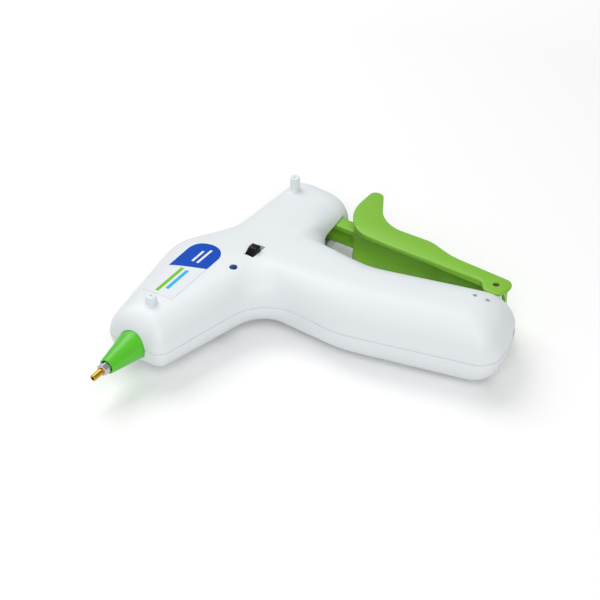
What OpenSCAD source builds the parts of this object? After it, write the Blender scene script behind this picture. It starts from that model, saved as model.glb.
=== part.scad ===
// Cordless hot glue applicator, lying on its right side on the two pegs and the handle.
// The sub-parts are drawn in a working frame: the nozzle axis is X, pointing forward, X is 0 at the
// barrel's front face, +Y runs towards the handle's end and Z is 0 on the seam between the halves.
// stand() then puts the centre of the whole outline over the origin, with the floor at Z 0.

/* [Barrel] */
// Length of the barrel from its front face to its rear end
barrel_len = 118.6; // [114:0.2:145]
// Height of the barrel's front face above the nozzle axis
nose_rise = 12.2; // [12:0.1:15]
// Depth of the barrel's front face below the nozzle axis
nose_drop = 13.1; // [12.5:0.1:16]
// Half the thickness of the barrel at its front
nose_half_t = 11.6; // [11.2:0.1:14]
// Distance from the front face back to the hump on top
hump_back = 53; // [48:0.5:58]
// Height of the hump's corner above the nozzle axis
hump_rise = 22.3; // [20:0.1:27]
// Half the thickness of the barrel at the hump
hump_half_t = 12.3; // [11.5:0.1:15]
// Height of the rear end above the nozzle axis
rear_rise = 8.2; // [8:0.1:11]
// Depth of the rear end below the nozzle axis
rear_drop = 24.6; // [23:0.1:30]
// Half the thickness of the rear end
rear_half_t = 9.4; // [9.2:0.1:12]

/* [Handle] */
// Distance from the front face back to the point where the handle's centre line meets the nozzle axis
handle_back = 52.9; // [51:0.1:55]
// Length of the handle along its centre line, from the nozzle axis to its end corners
handle_len = 115; // [110:0.2:140]
// Width of the handle
handle_w = 35.6; // [34:0.1:43]
// Half the thickness of the handle
handle_half_t = 15; // [14.5:0.1:18]
// Rake of the handle in degrees
handle_rake = 12.7; // [10:0.1:15]

/* [Shell] */
// Wall of the two housing halves
wall = 2; // [1.6:0.1:2.4]
// Squareness of the housing's cross-section, where 2 is an ellipse
squareness = 2.1; // [2:0.1:2.6]
// Squareness of the cross-section at the back of the handle, which slopes towards the lever
back_squareness = 1.6; // [1.5:0.1:2.2]
// Diameter of the standing pegs
peg_d = 4; // [3:0.1:5]
// Diameter of the small dimple in each peg's end
peg_dimple_d = 1.2; // [0.8:0.1:1.6]
// Distance of the front peg behind the front face
peg_front = 12.6; // [11:0.1:15]
// Distance of the rear peg ahead of the rear end
peg_rear = 12.4; // [11:0.1:16]
// Diameter of the housing screws' shanks
screw_d = 2.5; // [2:0.1:3]
// Diameter of the housing screws' heads
screw_head_d = 4.6; // [4:0.1:5.2]

/* [Nozzle] */
// Diameter of the nozzle cover where it leaves the barrel
cover_d = 11.4; // [10.4:0.1:13.6]
// Diameter of the nozzle cover's small end
cover_tip_d = 6; // [5.6:0.1:7.5]
// Length of the nozzle cover that shows
cover_len = 14.6; // [12:0.1:18]
// Size of the hexagonal collar across its flats
collar_flats = 4; // [3.6:0.1:4.8]
// Length of the collar that shows past the cover
collar_show = 2.8; // [2:0.1:4]
// Diameter of the brass tip
tip_d = 2.4; // [2:0.1:2.8]
// Length of the brass tip that shows
tip_show = 4.9; // [3:0.1:7]
// Bore of the brass tip
tip_bore = 1.3; // [1:0.1:1.6]

/* [Feed] */
// Diameter of the glue stick
stick_d = 7.2; // [6.6:0.1:8.7]
// Radial play of the stick in the bores that guide it
stick_play = 0.35; // [0.2:0.05:0.4]
// Wall of the stick guide and of the carriage round the stick
guide_wall = 1.1; // [0.9:0.1:1.3]
// Wire of the return spring
spring_wire = 0.8; // [0.5:0.1:1]
// Turns of the return spring
spring_turns = 7; // [5:1:8]

/* [Trigger] */
// Width of the lever
lever_w = 20; // [18:0.1:24]
// Wall of the lever
lever_wall = 1.8; // [1.5:0.1:2.2]
// Radius of the lever's two pivot lugs
lug_r = 5.2; // [5:0.1:6.4]
// Diameter of the pivot pin
pin_d = 2.4; // [2:0.1:3]
// Distance of the push tongue's front face behind the barrel's front face
tongue_back = 100.3; // [99:0.1:104]
// Length of the push tongue along the barrel
tongue_len = 5.9; // [5:0.1:7]
// Angle that the lever is squeezed through in degrees
squeeze = 10; // [8:0.5:10]
// Height of the push tongue across the lever
tongue_w = 8.4; // [7:0.1:8.8]

/* [Electrics] */
// Diameter of the battery cell
cell_d = 18; // [17:0.1:18.4]
// Length of the battery cell
cell_len = 65; // [60:0.5:66]
// Diameter of the indicator lamp
led_d = 3; // [2:0.1:4]
// Width of the switch knob across the barrel
knob_w = 3.8; // [3:0.1:4.6]
// Length of the switch knob along the barrel
knob_len = 5.2; // [4.4:0.1:6.2]
// Height of the switch knob above the shell
knob_h = 2.1; // [1.6:0.1:3]
// Travel of the switch knob
knob_travel = 2.5; // [2:0.1:3]
// Width of the charging socket
port_w = 7.6; // [7:0.1:9]
// Height of the charging socket
port_h = 2.8; // [2.4:0.1:3.4]

/* [Hidden] */
$fn = 64;
// Clearances: faces that only pass, pieces that slide, pins that turn, pieces that are fixed
pass_gap = 0.4;
slide_gap = 0.3;
pin_gap = 0.04;
seat_gap = 0.05;
// Overrun of a cut past the face that it opens
over = 1;

// Points of a path whose corners are [x, y, radius], as arcs joined by straight runs
function unit(v) = v / norm(v);
function cross2(a, b) = a.x * b.y - a.y * b.x;
function wrap(a) = a > 180 ? a - 360 : a < -180 ? a + 360 : a;
function xy(v) = [v.x, v.y];
function corner_arc(prev, here, next, step) =
    let (u = unit(xy(prev) - xy(here)),
         v = unit(xy(next) - xy(here)),
         half = acos(u * v) / 2,
         r = here[2],
         centre = xy(here) + unit(u + v) * r / sin(half),
         from = xy(here) + u * r / tan(half) - centre,
         to = xy(here) + v * r / tan(half) - centre,
         start = atan2(from.y, from.x),
         sweep = wrap(atan2(to.y, to.x) - start),
         n = max(2, ceil(abs(sweep) / step)))
    [for (i = [0 : n]) centre + r * [cos(start + sweep * i / n), sin(start + sweep * i / n)]];
function rounded(c, step) =
    let (n = len(c))
    [for (i = [0 : n - 1]) each corner_arc(c[(i + n - 1) % n], c[i], c[(i + 1) % n], step)];

// Place on the seam at a distance along the handle's centre line and across it, front positive
function handle_pt(along, across) =
    [-handle_back - along * sin(handle_rake) + across * cos(handle_rake),
     along * cos(handle_rake) + across * sin(handle_rake)];

// Housing outline on the seam: corner, radius, then the point on the crown that it rises to, and the
// half thickness and the squareness there. Each run between two corners blends from one to the next.
crown_gap = 1.6;
back_flare = 5.6;
crotch_x = -handle_back - rear_drop * tan(handle_rake) - handle_w / 2 / cos(handle_rake) - back_flare;
nose_r = 5.5;
nose_crown = -peg_front + 1.2;
hump_r = 18;
// The top falls from the hump to a dip this far behind it
dip_back = 21;
dip_r = 26;
dip_half_t = (hump_half_t + rear_half_t) / 2;
rear_top_r = 8;
rear_low_r = 15;
rear_crown = -barrel_len + peg_rear;
crotch_r = 14;
throat_r = 18;
root_half_t = (hump_half_t + handle_half_t) / 2;
// The grip swells in the middle of the handle, at the back and at the front
grip_back = 57.5;
grip_front = 55;
grip_swell = 0.5;
grip_r = 40;
grip_half_t = handle_half_t - 0.3;
// The handle's end bows out between its two corners
end_bow = 2.6;
end_bow_r = 45;
end_r = 10;
end_crown = handle_len - 16;
mid_square = (squareness + back_squareness) / 2;
OUTLINE = [
    [0, -nose_rise, nose_r, nose_crown, -crown_gap, nose_half_t, squareness],
    [-hump_back, -hump_rise, hump_r, -hump_back + 3, -2 * crown_gap, hump_half_t, squareness],
    [-hump_back - dip_back, -rear_rise, dip_r, -hump_back - dip_back + 2, 4, dip_half_t, squareness],
    [-barrel_len, -rear_rise, rear_top_r, rear_crown, 6, rear_half_t, squareness],
    [-barrel_len, rear_drop, rear_low_r, rear_crown + 2, 10, rear_half_t, squareness],
    [crotch_x, rear_drop, crotch_r, crotch_x + 7, rear_drop - 5, root_half_t - 1, mid_square],
    concat(handle_pt(grip_back, -handle_w / 2 - grip_swell), grip_r,
           handle_pt(grip_back, -crown_gap), grip_half_t, back_squareness),
    concat(handle_pt(handle_len, -handle_w / 2 + 0.5), end_r, handle_pt(end_crown, -crown_gap),
           handle_half_t, mid_square),
    concat(handle_pt(handle_len + end_bow, 0.5), end_bow_r, handle_pt(end_crown + 1, 0),
           handle_half_t, squareness),
    concat(handle_pt(handle_len, handle_w / 2 - 0.7), end_r - 1, handle_pt(end_crown, crown_gap),
           handle_half_t, squareness),
    concat(handle_pt(grip_front, handle_w / 2 + grip_swell), grip_r,
           handle_pt(grip_front, crown_gap), grip_half_t, squareness),
    [-handle_back + 3.3, rear_drop - 0.6, throat_r, -handle_back - 7, 12, root_half_t - 0.6, squareness],
    [0, nose_drop, nose_r, nose_crown, crown_gap, nose_half_t, squareness]];
arc_step = 15;
run_step = 9;
rings_out = 8;
rings_in = 5;
crown_scale = 0.1;

// Every outline point with its outward normal, its crown point, its half thickness and its squareness
function arc_skin(i) =
    let (n = len(OUTLINE),
         a = OUTLINE[(i + n - 1) % n],
         p = OUTLINE[i],
         b = OUTLINE[(i + 1) % n],
         pts = corner_arc(a, p, b, arc_step),
         side = cross2(xy(p) - xy(a), xy(b) - xy(p)) < 0 ? 1 : -1,
         u = unit(xy(a) - xy(p)),
         v = unit(xy(b) - xy(p)),
         centre = xy(p) + unit(u + v) * p[2] / sin(acos(u * v) / 2))
    [for (q = pts) concat(q, side * (q - centre) / p[2], [for (m = [3 : 6]) p[m]])];
function run_skin(i) =
    let (n = len(OUTLINE),
         j = (i + 1) % n,
         here = arc_skin(i),
         a = here[len(here) - 1],
         b = arc_skin(j)[0],
         d = xy(b) - xy(a),
         steps = max(1, ceil(norm(d) / run_step)),
         normal = [-d.y, d.x] / norm(d))
    [for (k = [1 : 1 : steps - 1])
        let (s = k / steps, w = s * s * (3 - 2 * s))
        concat(xy(a) + s * d, normal,
               [for (m = [3 : 6]) OUTLINE[i][m] + w * (OUTLINE[j][m] - OUTLINE[i][m])])];
SKIN = [for (i = [0 : len(OUTLINE) - 1]) each concat(arc_skin(i), run_skin(i))];
SKIN_N = len(SKIN);

// One level of the housing's surface, moved inwards by inset; level 0 is the seam, level n the crown
function ring(level, levels, inset) =
    let (t = 90 * level / levels)
    [for (s = SKIN)
        let (edge = [s[0] - inset * s[2], s[1] - inset * s[3]],
             crown = [s[4], s[5]],
             f = crown_scale + (1 - crown_scale) * pow(cos(t), 2 / s[7]),
             g = level == levels ? 1 : pow(sin(t), 2 / s[7]),
             at = crown + f * (edge - crown))
        [at.x, at.y, g * (s[6] - inset)]];
function band(base, i) = base + i % SKIN_N;
function wall_faces(first, levels, inward) =
    [for (k = [0 : levels - 1])
        for (i = [0 : SKIN_N - 1])
            let (a = band(first + k * SKIN_N, i),
                 b = band(first + k * SKIN_N, i + 1),
                 c = b + SKIN_N,
                 d = a + SKIN_N)
            each (inward ? [[a, c, b], [a, d, c]] : [[a, b, c], [a, c, d]])];

// Triangles that fill a clockwise loop of points, cut off ear by ear
flat_area = 0.0001;
function in_triangle(p, a, b, c) =
    cross2(b - a, p - a) <= flat_area
        && cross2(c - b, p - b) <= flat_area
        && cross2(a - c, p - c) <= flat_area;
function is_ear(pts, ids, k) =
    let (n = len(ids),
         i = ids[(k + n - 1) % n],
         j = ids[k],
         m = ids[(k + 1) % n],
         a = xy(pts[i]),
         b = xy(pts[j]),
         c = xy(pts[m]))
    cross2(b - a, c - b) < -flat_area
        && len([for (q = ids) if (q != i && q != j && q != m && in_triangle(xy(pts[q]), a, b, c)) q]) == 0;
function next_ear(pts, ids, k) = is_ear(pts, ids, k % len(ids)) ? k % len(ids) : next_ear(pts, ids, k + 1);
function fill(pts, ids, k = 0) =
    len(ids) == 3 ? [ids]
        : let (n = len(ids), e = next_ear(pts, ids, k))
          concat([[ids[(e + n - 1) % n], ids[e], ids[(e + 1) % n]]],
                 fill(pts, [for (m = [0 : n - 1]) if (m != e) ids[m]], e + 1));
function cap(pts, first, inward) =
    [for (t = fill(pts, [for (i = [0 : SKIN_N - 1]) i]))
        inward ? [first + t[2], first + t[1], first + t[0]] : [first + t[0], first + t[1], first + t[2]]];

// Hollow half of the housing above the seam
module half_shell() {
    inner = SKIN_N * (rings_out + 1);
    polyhedron(
        points = concat([for (k = [0 : rings_out]) each ring(k, rings_out, 0)],
                        [for (k = [0 : rings_in]) each ring(k, rings_in, wall)]),
        faces = concat(wall_faces(0, rings_out, false),
                       cap(ring(rings_out, rings_out, 0), SKIN_N * rings_out, false),
                       wall_faces(inner, rings_in, true),
                       cap(ring(rings_in, rings_in, wall), inner + SKIN_N * rings_in, true),
                       [for (i = [0 : SKIN_N - 1])
                           let (a = band(inner, i), b = band(inner, i + 1))
                           each [[i, a, b], [i, b, band(0, i + 1)]]]));
}

// Solid half whose surface lies in the middle of the wall, which trims what grows from the wall
module half_core() {
    polyhedron(
        points = [for (k = [0 : rings_in]) each ring(k, rings_in, wall / 2)],
        faces = concat(wall_faces(0, rings_in, false),
                       cap(ring(rings_in, rings_in, wall / 2), SKIN_N * rings_in, false),
                       cap(ring(0, rings_in, wall / 2), 0, true)));
}

// Height of the left half's outer surface over a point of the seam plane
OUTER = [for (k = [0 : rings_out]) ring(k, rings_out, 0)];
function tri_height(p, a, b, c) =
    let (d = cross2(xy(b) - xy(a), xy(c) - xy(a)),
         u = cross2(p - xy(a), xy(c) - xy(a)) / d,
         v = cross2(xy(b) - xy(a), p - xy(a)) / d)
    u >= 0 && v >= 0 && u + v <= 1 ? a.z + u * (b.z - a.z) + v * (c.z - a.z) : 0;
CROWN = OUTER[rings_out];
CROWN_FILL = fill(CROWN, [for (i = [0 : SKIN_N - 1]) i]);
function skin_height(p) =
    max(concat([for (t = CROWN_FILL) tri_height(p, CROWN[t[0]], CROWN[t[1]], CROWN[t[2]])],
               [for (k = [0 : rings_out - 1])
                   for (i = [0 : SKIN_N - 1])
                       let (j = (i + 1) % SKIN_N,
                            a = OUTER[k][i],
                            b = OUTER[k][j],
                            c = OUTER[k + 1][j],
                            d = OUTER[k + 1][i])
                       max(tri_height(p, a, b, c), tri_height(p, a, c, d))]));

// Tube swept along points, with its rings square to the path
function path_dir(path, i) = unit(path[min(i + 1, len(path) - 1)] - path[max(i - 1, 0)]);
function tube_ring(path, i, r, sides, ref) =
    let (d = path_dir(path, i), u = unit(cross(d, ref)), v = cross(d, u))
    [for (k = [0 : sides - 1]) path[i] + r * (cos(360 * k / sides) * u + sin(360 * k / sides) * v)];
module tube(path, r, sides, ref) {
    n = len(path);
    polyhedron(
        points = [for (i = [0 : n - 1]) each tube_ring(path, i, r, sides, ref)],
        faces = concat([[for (k = [0 : sides - 1]) k]],
                       [[for (k = [0 : sides - 1]) n * sides - 1 - k]],
                       [for (i = [0 : n - 2])
                           for (k = [0 : sides - 1])
                               let (a = i * sides + k, b = i * sides + (k + 1) % sides)
                               each [[a, a + sides, b + sides], [a, b + sides, b]]]));
}

// Cylinder along X between two places
module rod_x(x0, x1, r, y = 0, z = 0) {
    translate([x0, y, z])
        rotate([0, 90, 0])
            cylinder(h = x1 - x0, r = r);
}
// Box between two corners
module block(low, high) {
    translate(low)
        cube(high - low);
}
// Draws its children in the handle's own frame: X across, front positive, Y along the centre line
module on_handle() {
    translate([-handle_back, 0, 0])
        rotate([0, 0, handle_rake])
            children();
}

// Places that several pieces share
stick_bore = stick_d / 2 + stick_play;
guide_r = stick_bore + guide_wall;
cover_r = cover_d / 2;
cover_root = -wall - 4.4;
cover_flange = 1.1;
cover_flange_t = 1.6;
collar_r = collar_flats / sqrt(3);
collar_front = cover_len + collar_show;
tip_end = collar_front + tip_show;
tip_stem_r = tip_d / 2 + 0.3;
pivot = handle_pt(handle_len - 9.9, -handle_w / 2 - 1.4);
tongue_x = -tongue_back;
lever_half = lever_w / 2;
lug_in = lever_half - lever_wall;
ear_half = lug_in - pass_gap;
ear_r = 2.6;
// Ribs and posts of the housing
rib_t = 1.6;
post_r = 1.6;
guide_rib = [4.4, 6.2];
bush_rear = 3;
bush_front = 8.4;
bush_collar = 0.4;
// Melt chamber
chamber_r = 6.4;
chamber_front = -7.6;
chamber_rear = -36;
neck_r = 3.1;
neck_front = 4;
melt_end = -14;
stub_r = stick_bore + 0.9;
stub_rear = chamber_rear - 6.5;
mount_w = 3;
mount_r = chamber_r + 1.9;
mount_x = [chamber_front - 0.8 - mount_w, chamber_rear + 1.2];
heater = [16, 2.2, 7];
heater_x = -29;
heater_y = 7;
fuse_r = 1.2;
fuse_len = 8;
fuse_x = -26;
fuse_y = -chamber_r - fuse_r - 0.5;
// Feed
sleeve_rear = -52;
sleeve_r = stub_r + 1.1;
carriage_len = 22;
contact_y = 10;
bumper_r = 2.5;
feed_travel = (pivot.y - contact_y) * squeeze * PI / 180;
bumper_tip = tongue_x + slide_gap;
carriage_rear = bumper_tip + 2;
carriage_front = carriage_rear + carriage_len;
carriage_half = 5.2;
carriage_low = 13.5;
rail_y = 4.4;
rail_h = 2.6;
rail_depth = 0.9;
jaw_pin = [carriage_rear + 12, 9.8];
jaw_pin_r = 1;
jaw_half = 2.2;
// Cell, boards and sockets, in the handle's frame
cell_end = handle_len - 8.6;
cell_across = 2.7;
cradles = [for (in = [14.6, 50.6]) cell_end - cell_len + in];
tab = [6, 0.4, 8];
board_t = 1.2;
board_edge = -13.6;
board_w = 6.8;
board_z = -2.4;
board_from = 64;
port_across = -7.8;
port_len = 5.6;
port_mouth = handle_len - 1.2;
board_to = port_mouth - port_len + 1.4;
light_r = 0.8;
light_across = -3.9;
light_foot = -8.4;
light_leg = 7.2;
light_along = [handle_len - 13.9, handle_len - 9.1];
// Switch and lamp on the barrel's side
knob_front = -55.2;
knob_y = 13.5;
led_at = [-46.2, 12.7];
knob_skin = skin_height([knob_front - knob_len / 2, knob_y]);
led_skin = skin_height(led_at);
deck_z = 5.5;
switch_top = hump_half_t - wall - 0.1;
deck_low = [-63.5, 8.4];
deck_high = [-44.4, 21.9 - wall];
deck_posts = [[deck_low.x + 1.8, deck_high.y - 1.8], [deck_high.x - 1.8, deck_high.y - 1.8]];
// Screw bosses
boss_r = 2.7;
boss_gap = 0.2;
head_wall = 1.4;
screw_at = [[chamber_rear - 0.5, 15.4], [-hump_back + 3, -14.5], [-60, 29.5], [-barrel_len + 7.4, 11.6],
            handle_pt(handle_len - 4.2, 8.5)];
head_seat = 5.4;
head_h = 1.8;
shank_up = 5;
pilot_play = 0.05;
recess = [2.6, 0.6];

// Lever outline from the horn's tip down the palm side, round the lugs and back up the handle side.
// The web between the flanges stands back from their edge by the lip and runs on past the pivot.
lip = 0.6;
palm = 1.8;
horn = 21.8;
horn_y = rear_drop + 2.7;
lever_step = 12;
swell = [pivot.x - 10.4, pivot.y - 33.5];
waist = [pivot.x - 6.6, pivot.y - 22.8];
function lever_corners(back, past, lug_corner) = [
    [tongue_x - horn + back, horn_y, 2],
    [tongue_x - horn + back, horn_y + 5 - back, 2.4],
    [tongue_x - 4.2 + back, rear_drop + 17.9 - back, 16],
    [swell.x + back, swell.y, 14],
    [waist.x + back, waist.y, 30],
    [pivot.x - lug_r + back, pivot.y + past, lug_corner],
    [pivot.x + 0.7, pivot.y + past, lug_corner],
    [pivot.x + 0.9, pivot.y - 45, 40],
    [tongue_x + 6, rear_drop + 11.8, 14],
    [tongue_x - 5.5, horn_y, 20]];
LEVER_PTS = rounded(lever_corners(0, 0, 2), lever_step);
WEB_PTS = rounded(lever_corners(lip, 3, 0.5), lever_step);

// Stands the working frame on the floor, centred on the outline
x_all = concat([for (p = LEVER_PTS) p.x], [for (s = SKIN) s[0]], [tip_end]);
y_all = [for (s = SKIN) s[1]];
module stand() {
    translate([-(max(x_all) + min(x_all)) / 2, -(max(y_all) + min(y_all)) / 2, handle_half_t])
        children();
}

// Saddle that carries a round piece lying along X
module saddle(x0, x1, half_y, r) {
    difference() {
        block([x0, -half_y, boss_gap], [x1, half_y, nose_half_t]);
        rod_x(x0 - over, x1 + over, r);
    }
}

// What grows from the inside of each half, above the seam
module shell_fittings() {
    intersection() {
        half_core();
        union() {
            for (x = mount_x)
                saddle(x + 0.5, x + mount_w - 0.5, mount_r * 0.75, mount_r + seat_gap);
            for (along = cradles)
                on_handle()
                    difference() {
                        translate([cell_across - cell_d / 2 + 1, along, boss_gap])
                            cube([cell_d - 2, rib_t, handle_half_t]);
                        translate([cell_across, along - over, 0])
                            rotate([-90, 0, 0])
                                cylinder(h = rib_t + 2 * over, r = cell_d / 2 + slide_gap);
                    }
            block([tongue_x - 3, rail_y, carriage_half - rail_depth + slide_gap],
                  [sleeve_rear - 6, rail_y + rail_h, rear_half_t + 4]);
            translate([-barrel_len, 0, 0])
                difference() {
                    block([guide_rib[0], -guide_r - rib_t, boss_gap],
                          [guide_rib[1], guide_r + rib_t, rear_half_t]);
                    rod_x(guide_rib[0] - over, guide_rib[1] + over, guide_r + seat_gap);
                }
        }
    }
}

// Cuts that both halves share at the seam
module seam_cuts() {
    rod_x(-9, over, cover_r + pass_gap / 2);
    rod_x(-barrel_len - over, -barrel_len + guide_rib[1] + 0.1, guide_r + seat_gap);
    rod_x(-barrel_len + guide_rib[1] + 0.1, -barrel_len + bush_front + seat_gap,
          guide_r + bush_collar + seat_gap);
    block([tongue_x - tongue_len - 0.8, 12, -tongue_w / 2 - pass_gap],
          [tongue_x + feed_travel, rear_drop + 9, tongue_w / 2 + pass_gap]);
    on_handle() {
        block([port_across - port_w / 2 - 0.3, port_mouth - port_len - 3, board_z + board_t - 0.2],
              [port_across + port_w / 2 + 0.3, port_mouth + 6, board_z + board_t + port_h + 0.3]);
    }
    for (side = [0, 1])
        mirror([0, 0, side])
            translate([pivot.x, pivot.y, ear_half])
                cylinder(h = lever_wall + 2 * pass_gap, r = lug_r + pass_gap);
}

// Ear that the lever turns on, one half of it, with the pin's bore
module pivot_ear() {
    difference() {
        union() {
            translate([pivot.x, pivot.y, 0])
                cylinder(h = ear_half, r = ear_r);
            block([pivot.x, pivot.y - ear_r, 0], [pivot.x + 3.2, pivot.y + ear_r, ear_half]);
        }
        translate([pivot.x, pivot.y, -over])
            cylinder(h = lever_w, r = pin_d / 2 + pin_gap);
    }
}

// Standing pegs with a dimple in the end
module pegs() {
    for (x = [-peg_front, -barrel_len + peg_rear])
        difference() {
            translate([x, 0, skin_height([x, 0]) - wall / 2])
                cylinder(h = handle_half_t - skin_height([x, 0]) + wall / 2, d = peg_d);
            translate([x, 0, handle_half_t - 1])
                cylinder(h = 1 + over, d = peg_dimple_d);
        }
}

module left_shell() color("white") stand() {
    difference() {
        union() {
            half_shell();
            shell_fittings();
            pegs();
            intersection() {
                half_core();
                union() {
                    for (p = screw_at)
                        translate([p.x, p.y, boss_gap])
                            cylinder(h = handle_half_t, r = boss_r);
                    for (p = deck_posts)
                        translate([p.x, p.y, deck_z + board_t])
                            cylinder(h = handle_half_t, r = post_r);
                }
            }
        }
        seam_cuts();
        for (p = screw_at)
            translate([p.x, p.y, 0])
                cylinder(h = shank_up + 0.5, r = screw_d / 2 + pilot_play);
        translate([led_at.x, led_at.y, deck_z])
            cylinder(h = handle_half_t, r = led_d / 2 + seat_gap);
        block([knob_front - knob_len - knob_travel - 0.3, knob_y - knob_w / 2 - 0.15, switch_top - 1],
              [knob_front + 0.3, knob_y + knob_w / 2 + 0.15, handle_half_t + over]);
        on_handle()
            for (along = light_along)
                translate([light_across, along, light_leg])
                    cylinder(h = handle_half_t, r = light_r + seat_gap);
    }
    pivot_ear();
}

module right_shell() color("white") stand() mirror([0, 0, 1]) {
    difference() {
        union() {
            half_shell();
            shell_fittings();
            pegs();
            intersection() {
                half_core();
                union() {
                    for (p = screw_at)
                        translate([p.x, p.y, boss_gap])
                            cylinder(h = handle_half_t, r = screw_head_d / 2 + head_wall);
                    on_handle()
                        for (along = [board_from + 4, board_to - 9])
                            translate([board_edge + 2, along, -board_z])
                                cylinder(h = handle_half_t, r = post_r);
                }
            }
        }
        mirror([0, 0, 1])
            seam_cuts();
        for (p = screw_at) {
            translate([p.x, p.y, 0])
                cylinder(h = handle_half_t, r = screw_d / 2 + pilot_play);
            translate([p.x, p.y, head_seat])
                cylinder(h = handle_half_t, r = screw_head_d / 2 + slide_gap);
        }
    }
    pivot_ear();
}

// Lever: a channel open to the handle, with a second one under the horn, and the push tongue
module trigger() color("yellowgreen") stand() {
    reach = 20;
    difference() {
        union() {
            for (z = [-lever_half, lug_in])
                translate([0, 0, z]) {
                    linear_extrude(lever_wall)
                        polygon(LEVER_PTS);
                    translate([pivot.x, pivot.y, 0])
                        cylinder(h = lever_wall, r = lug_r);
                }
            translate([0, 0, -lug_in - lever_wall / 2])
                linear_extrude(2 * lug_in + lever_wall)
                    polygon(WEB_PTS);
        }
        translate([0, 0, -lug_in])
            linear_extrude(2 * lug_in)
                polygon(rounded([
                    [pivot.x + reach, pivot.y + reach, 1],
                    [pivot.x - ear_r - pass_gap, pivot.y + reach, 1],
                    [pivot.x - ear_r - pass_gap, pivot.y - 2, 1],
                    [waist.x + lip + palm, waist.y, 30],
                    [swell.x + lip + palm, swell.y, 12],
                    [tongue_x + 0.6, rear_drop + 14, 30],
                    [tongue_x + 0.6, rear_drop - 12, 1],
                    [pivot.x + reach, rear_drop - 12, 1]], lever_step));
        translate([0, 0, -lug_in])
            linear_extrude(2 * lug_in)
                polygon(rounded([
                    [tongue_x - 32, rear_drop - 15, 1],
                    [tongue_x - 32, rear_drop - 5, 1],
                    [tongue_x - 9, rear_drop + 12.4, 2],
                    [tongue_x - 4.3, rear_drop + 14.6, 2],
                    [tongue_x - 0.3, rear_drop + 8.5, 2],
                    [tongue_x - 0.3, rear_drop - 15, 1]], lever_step));
        translate([pivot.x, pivot.y, -lever_half - over])
            cylinder(h = lever_w + 2 * over, r = pin_d / 2 + pin_gap);
    }
    difference() {
        block([tongue_x - tongue_len, contact_y - 3.5, -tongue_w / 2],
              [tongue_x, rear_drop + 15, tongue_w / 2]);
        for (x = [tongue_x - tongue_len, tongue_x])
            block([x - 2, contact_y + 5, -tongue_w / 4], [x + 2, rear_drop + 8, tongue_w / 4]);
    }
}

module trigger_pin() color("dimgray") stand() {
    translate([pivot.x, pivot.y, -lever_half + 0.4])
        cylinder(h = lever_w - 0.8, d = pin_d);
}

// Tapered cover with a collar that the two halves trap behind the front wall
module nozzle_cover() color("limegreen") stand() {
    rotate([0, 90, 0])
        rotate_extrude()
            polygon([[neck_r + pass_gap, cover_root],
                     [cover_r + cover_flange, cover_root],
                     [cover_r + cover_flange, cover_root + cover_flange_t],
                     [cover_r, cover_root + cover_flange_t],
                     [cover_r, 0.4],
                     [cover_tip_d / 2, cover_len - 0.4],
                     [cover_tip_d / 2 - 0.4, cover_len],
                     [collar_r + 0.2, cover_len],
                     [collar_r + 0.2, neck_front + 0.6],
                     [neck_r + pass_gap, neck_front + 0.6]]);
}

module nozzle_collar() color("silver") stand() {
    difference() {
        translate([neck_front, 0, 0])
            rotate([0, 90, 0])
                cylinder(h = collar_front - neck_front, r = collar_r, $fn = 6);
        rod_x(neck_front - over, collar_front + over, tip_stem_r + seat_gap);
    }
}

module nozzle_tip() color("goldenrod") stand() {
    difference() {
        union() {
            rod_x(neck_front + 0.2, collar_front, tip_stem_r);
            rod_x(collar_front - over, tip_end, tip_d / 2);
        }
        rod_x(neck_front - over, tip_end + over, tip_bore / 2);
    }
}

// Melting tube with its heater housing, the fuse's saddle and the stub that the sleeve fits on
module melt_chamber() color("lightgray") stand() {
    box_low = heater_y + heater.y + 1.2;
    difference() {
        union() {
            rod_x(chamber_rear, chamber_front, chamber_r);
            rod_x(chamber_front - over, neck_front, neck_r);
            rod_x(stub_rear, chamber_rear + over, stub_r);
            block([heater_x - 1, 0, -heater.z / 2 - 1],
                  [heater_x + heater.x + 1, box_low, heater.z / 2 + 1]);
            block([fuse_x - 0.5, fuse_y - fuse_r - 0.8, -2.2], [fuse_x + fuse_len + 0.5, 0, 2.2]);
        }
        rod_x(stub_rear - over, melt_end, stick_bore);
        rod_x(melt_end - over, neck_front + over, tip_bore / 2);
        block([heater_x - 2, heater_y - seat_gap, -heater.z / 2 - seat_gap],
              [heater_x + heater.x + seat_gap, heater_y + heater.y + seat_gap, heater.z / 2 + seat_gap]);
        rod_x(fuse_x - over, fuse_x + fuse_len + over, fuse_r + seat_gap, fuse_y);
    }
}

module heater_element() color("ivory") stand() {
    translate([heater_x, heater_y, -heater.z / 2])
        cube(heater);
}

module thermal_fuse() color("tan") stand() {
    rod_x(fuse_x, fuse_x + fuse_len, fuse_r, fuse_y);
}

module chamber_mounts() color("saddlebrown") stand() {
    for (x = mount_x)
        difference() {
            rod_x(x, x + mount_w, mount_r);
            rod_x(x - over, x + mount_w + over, chamber_r + seat_gap);
        }
}

module inlet_sleeve() color("orangered") stand() {
    difference() {
        union() {
            rod_x(sleeve_rear, chamber_rear - 0.3, sleeve_r);
            rod_x(sleeve_rear, sleeve_rear + 1.6, sleeve_r + 0.8);
        }
        rod_x(sleeve_rear - over, chamber_rear, stick_bore);
        rod_x(stub_rear - 0.2, chamber_rear, stub_r + seat_gap);
    }
}

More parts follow.
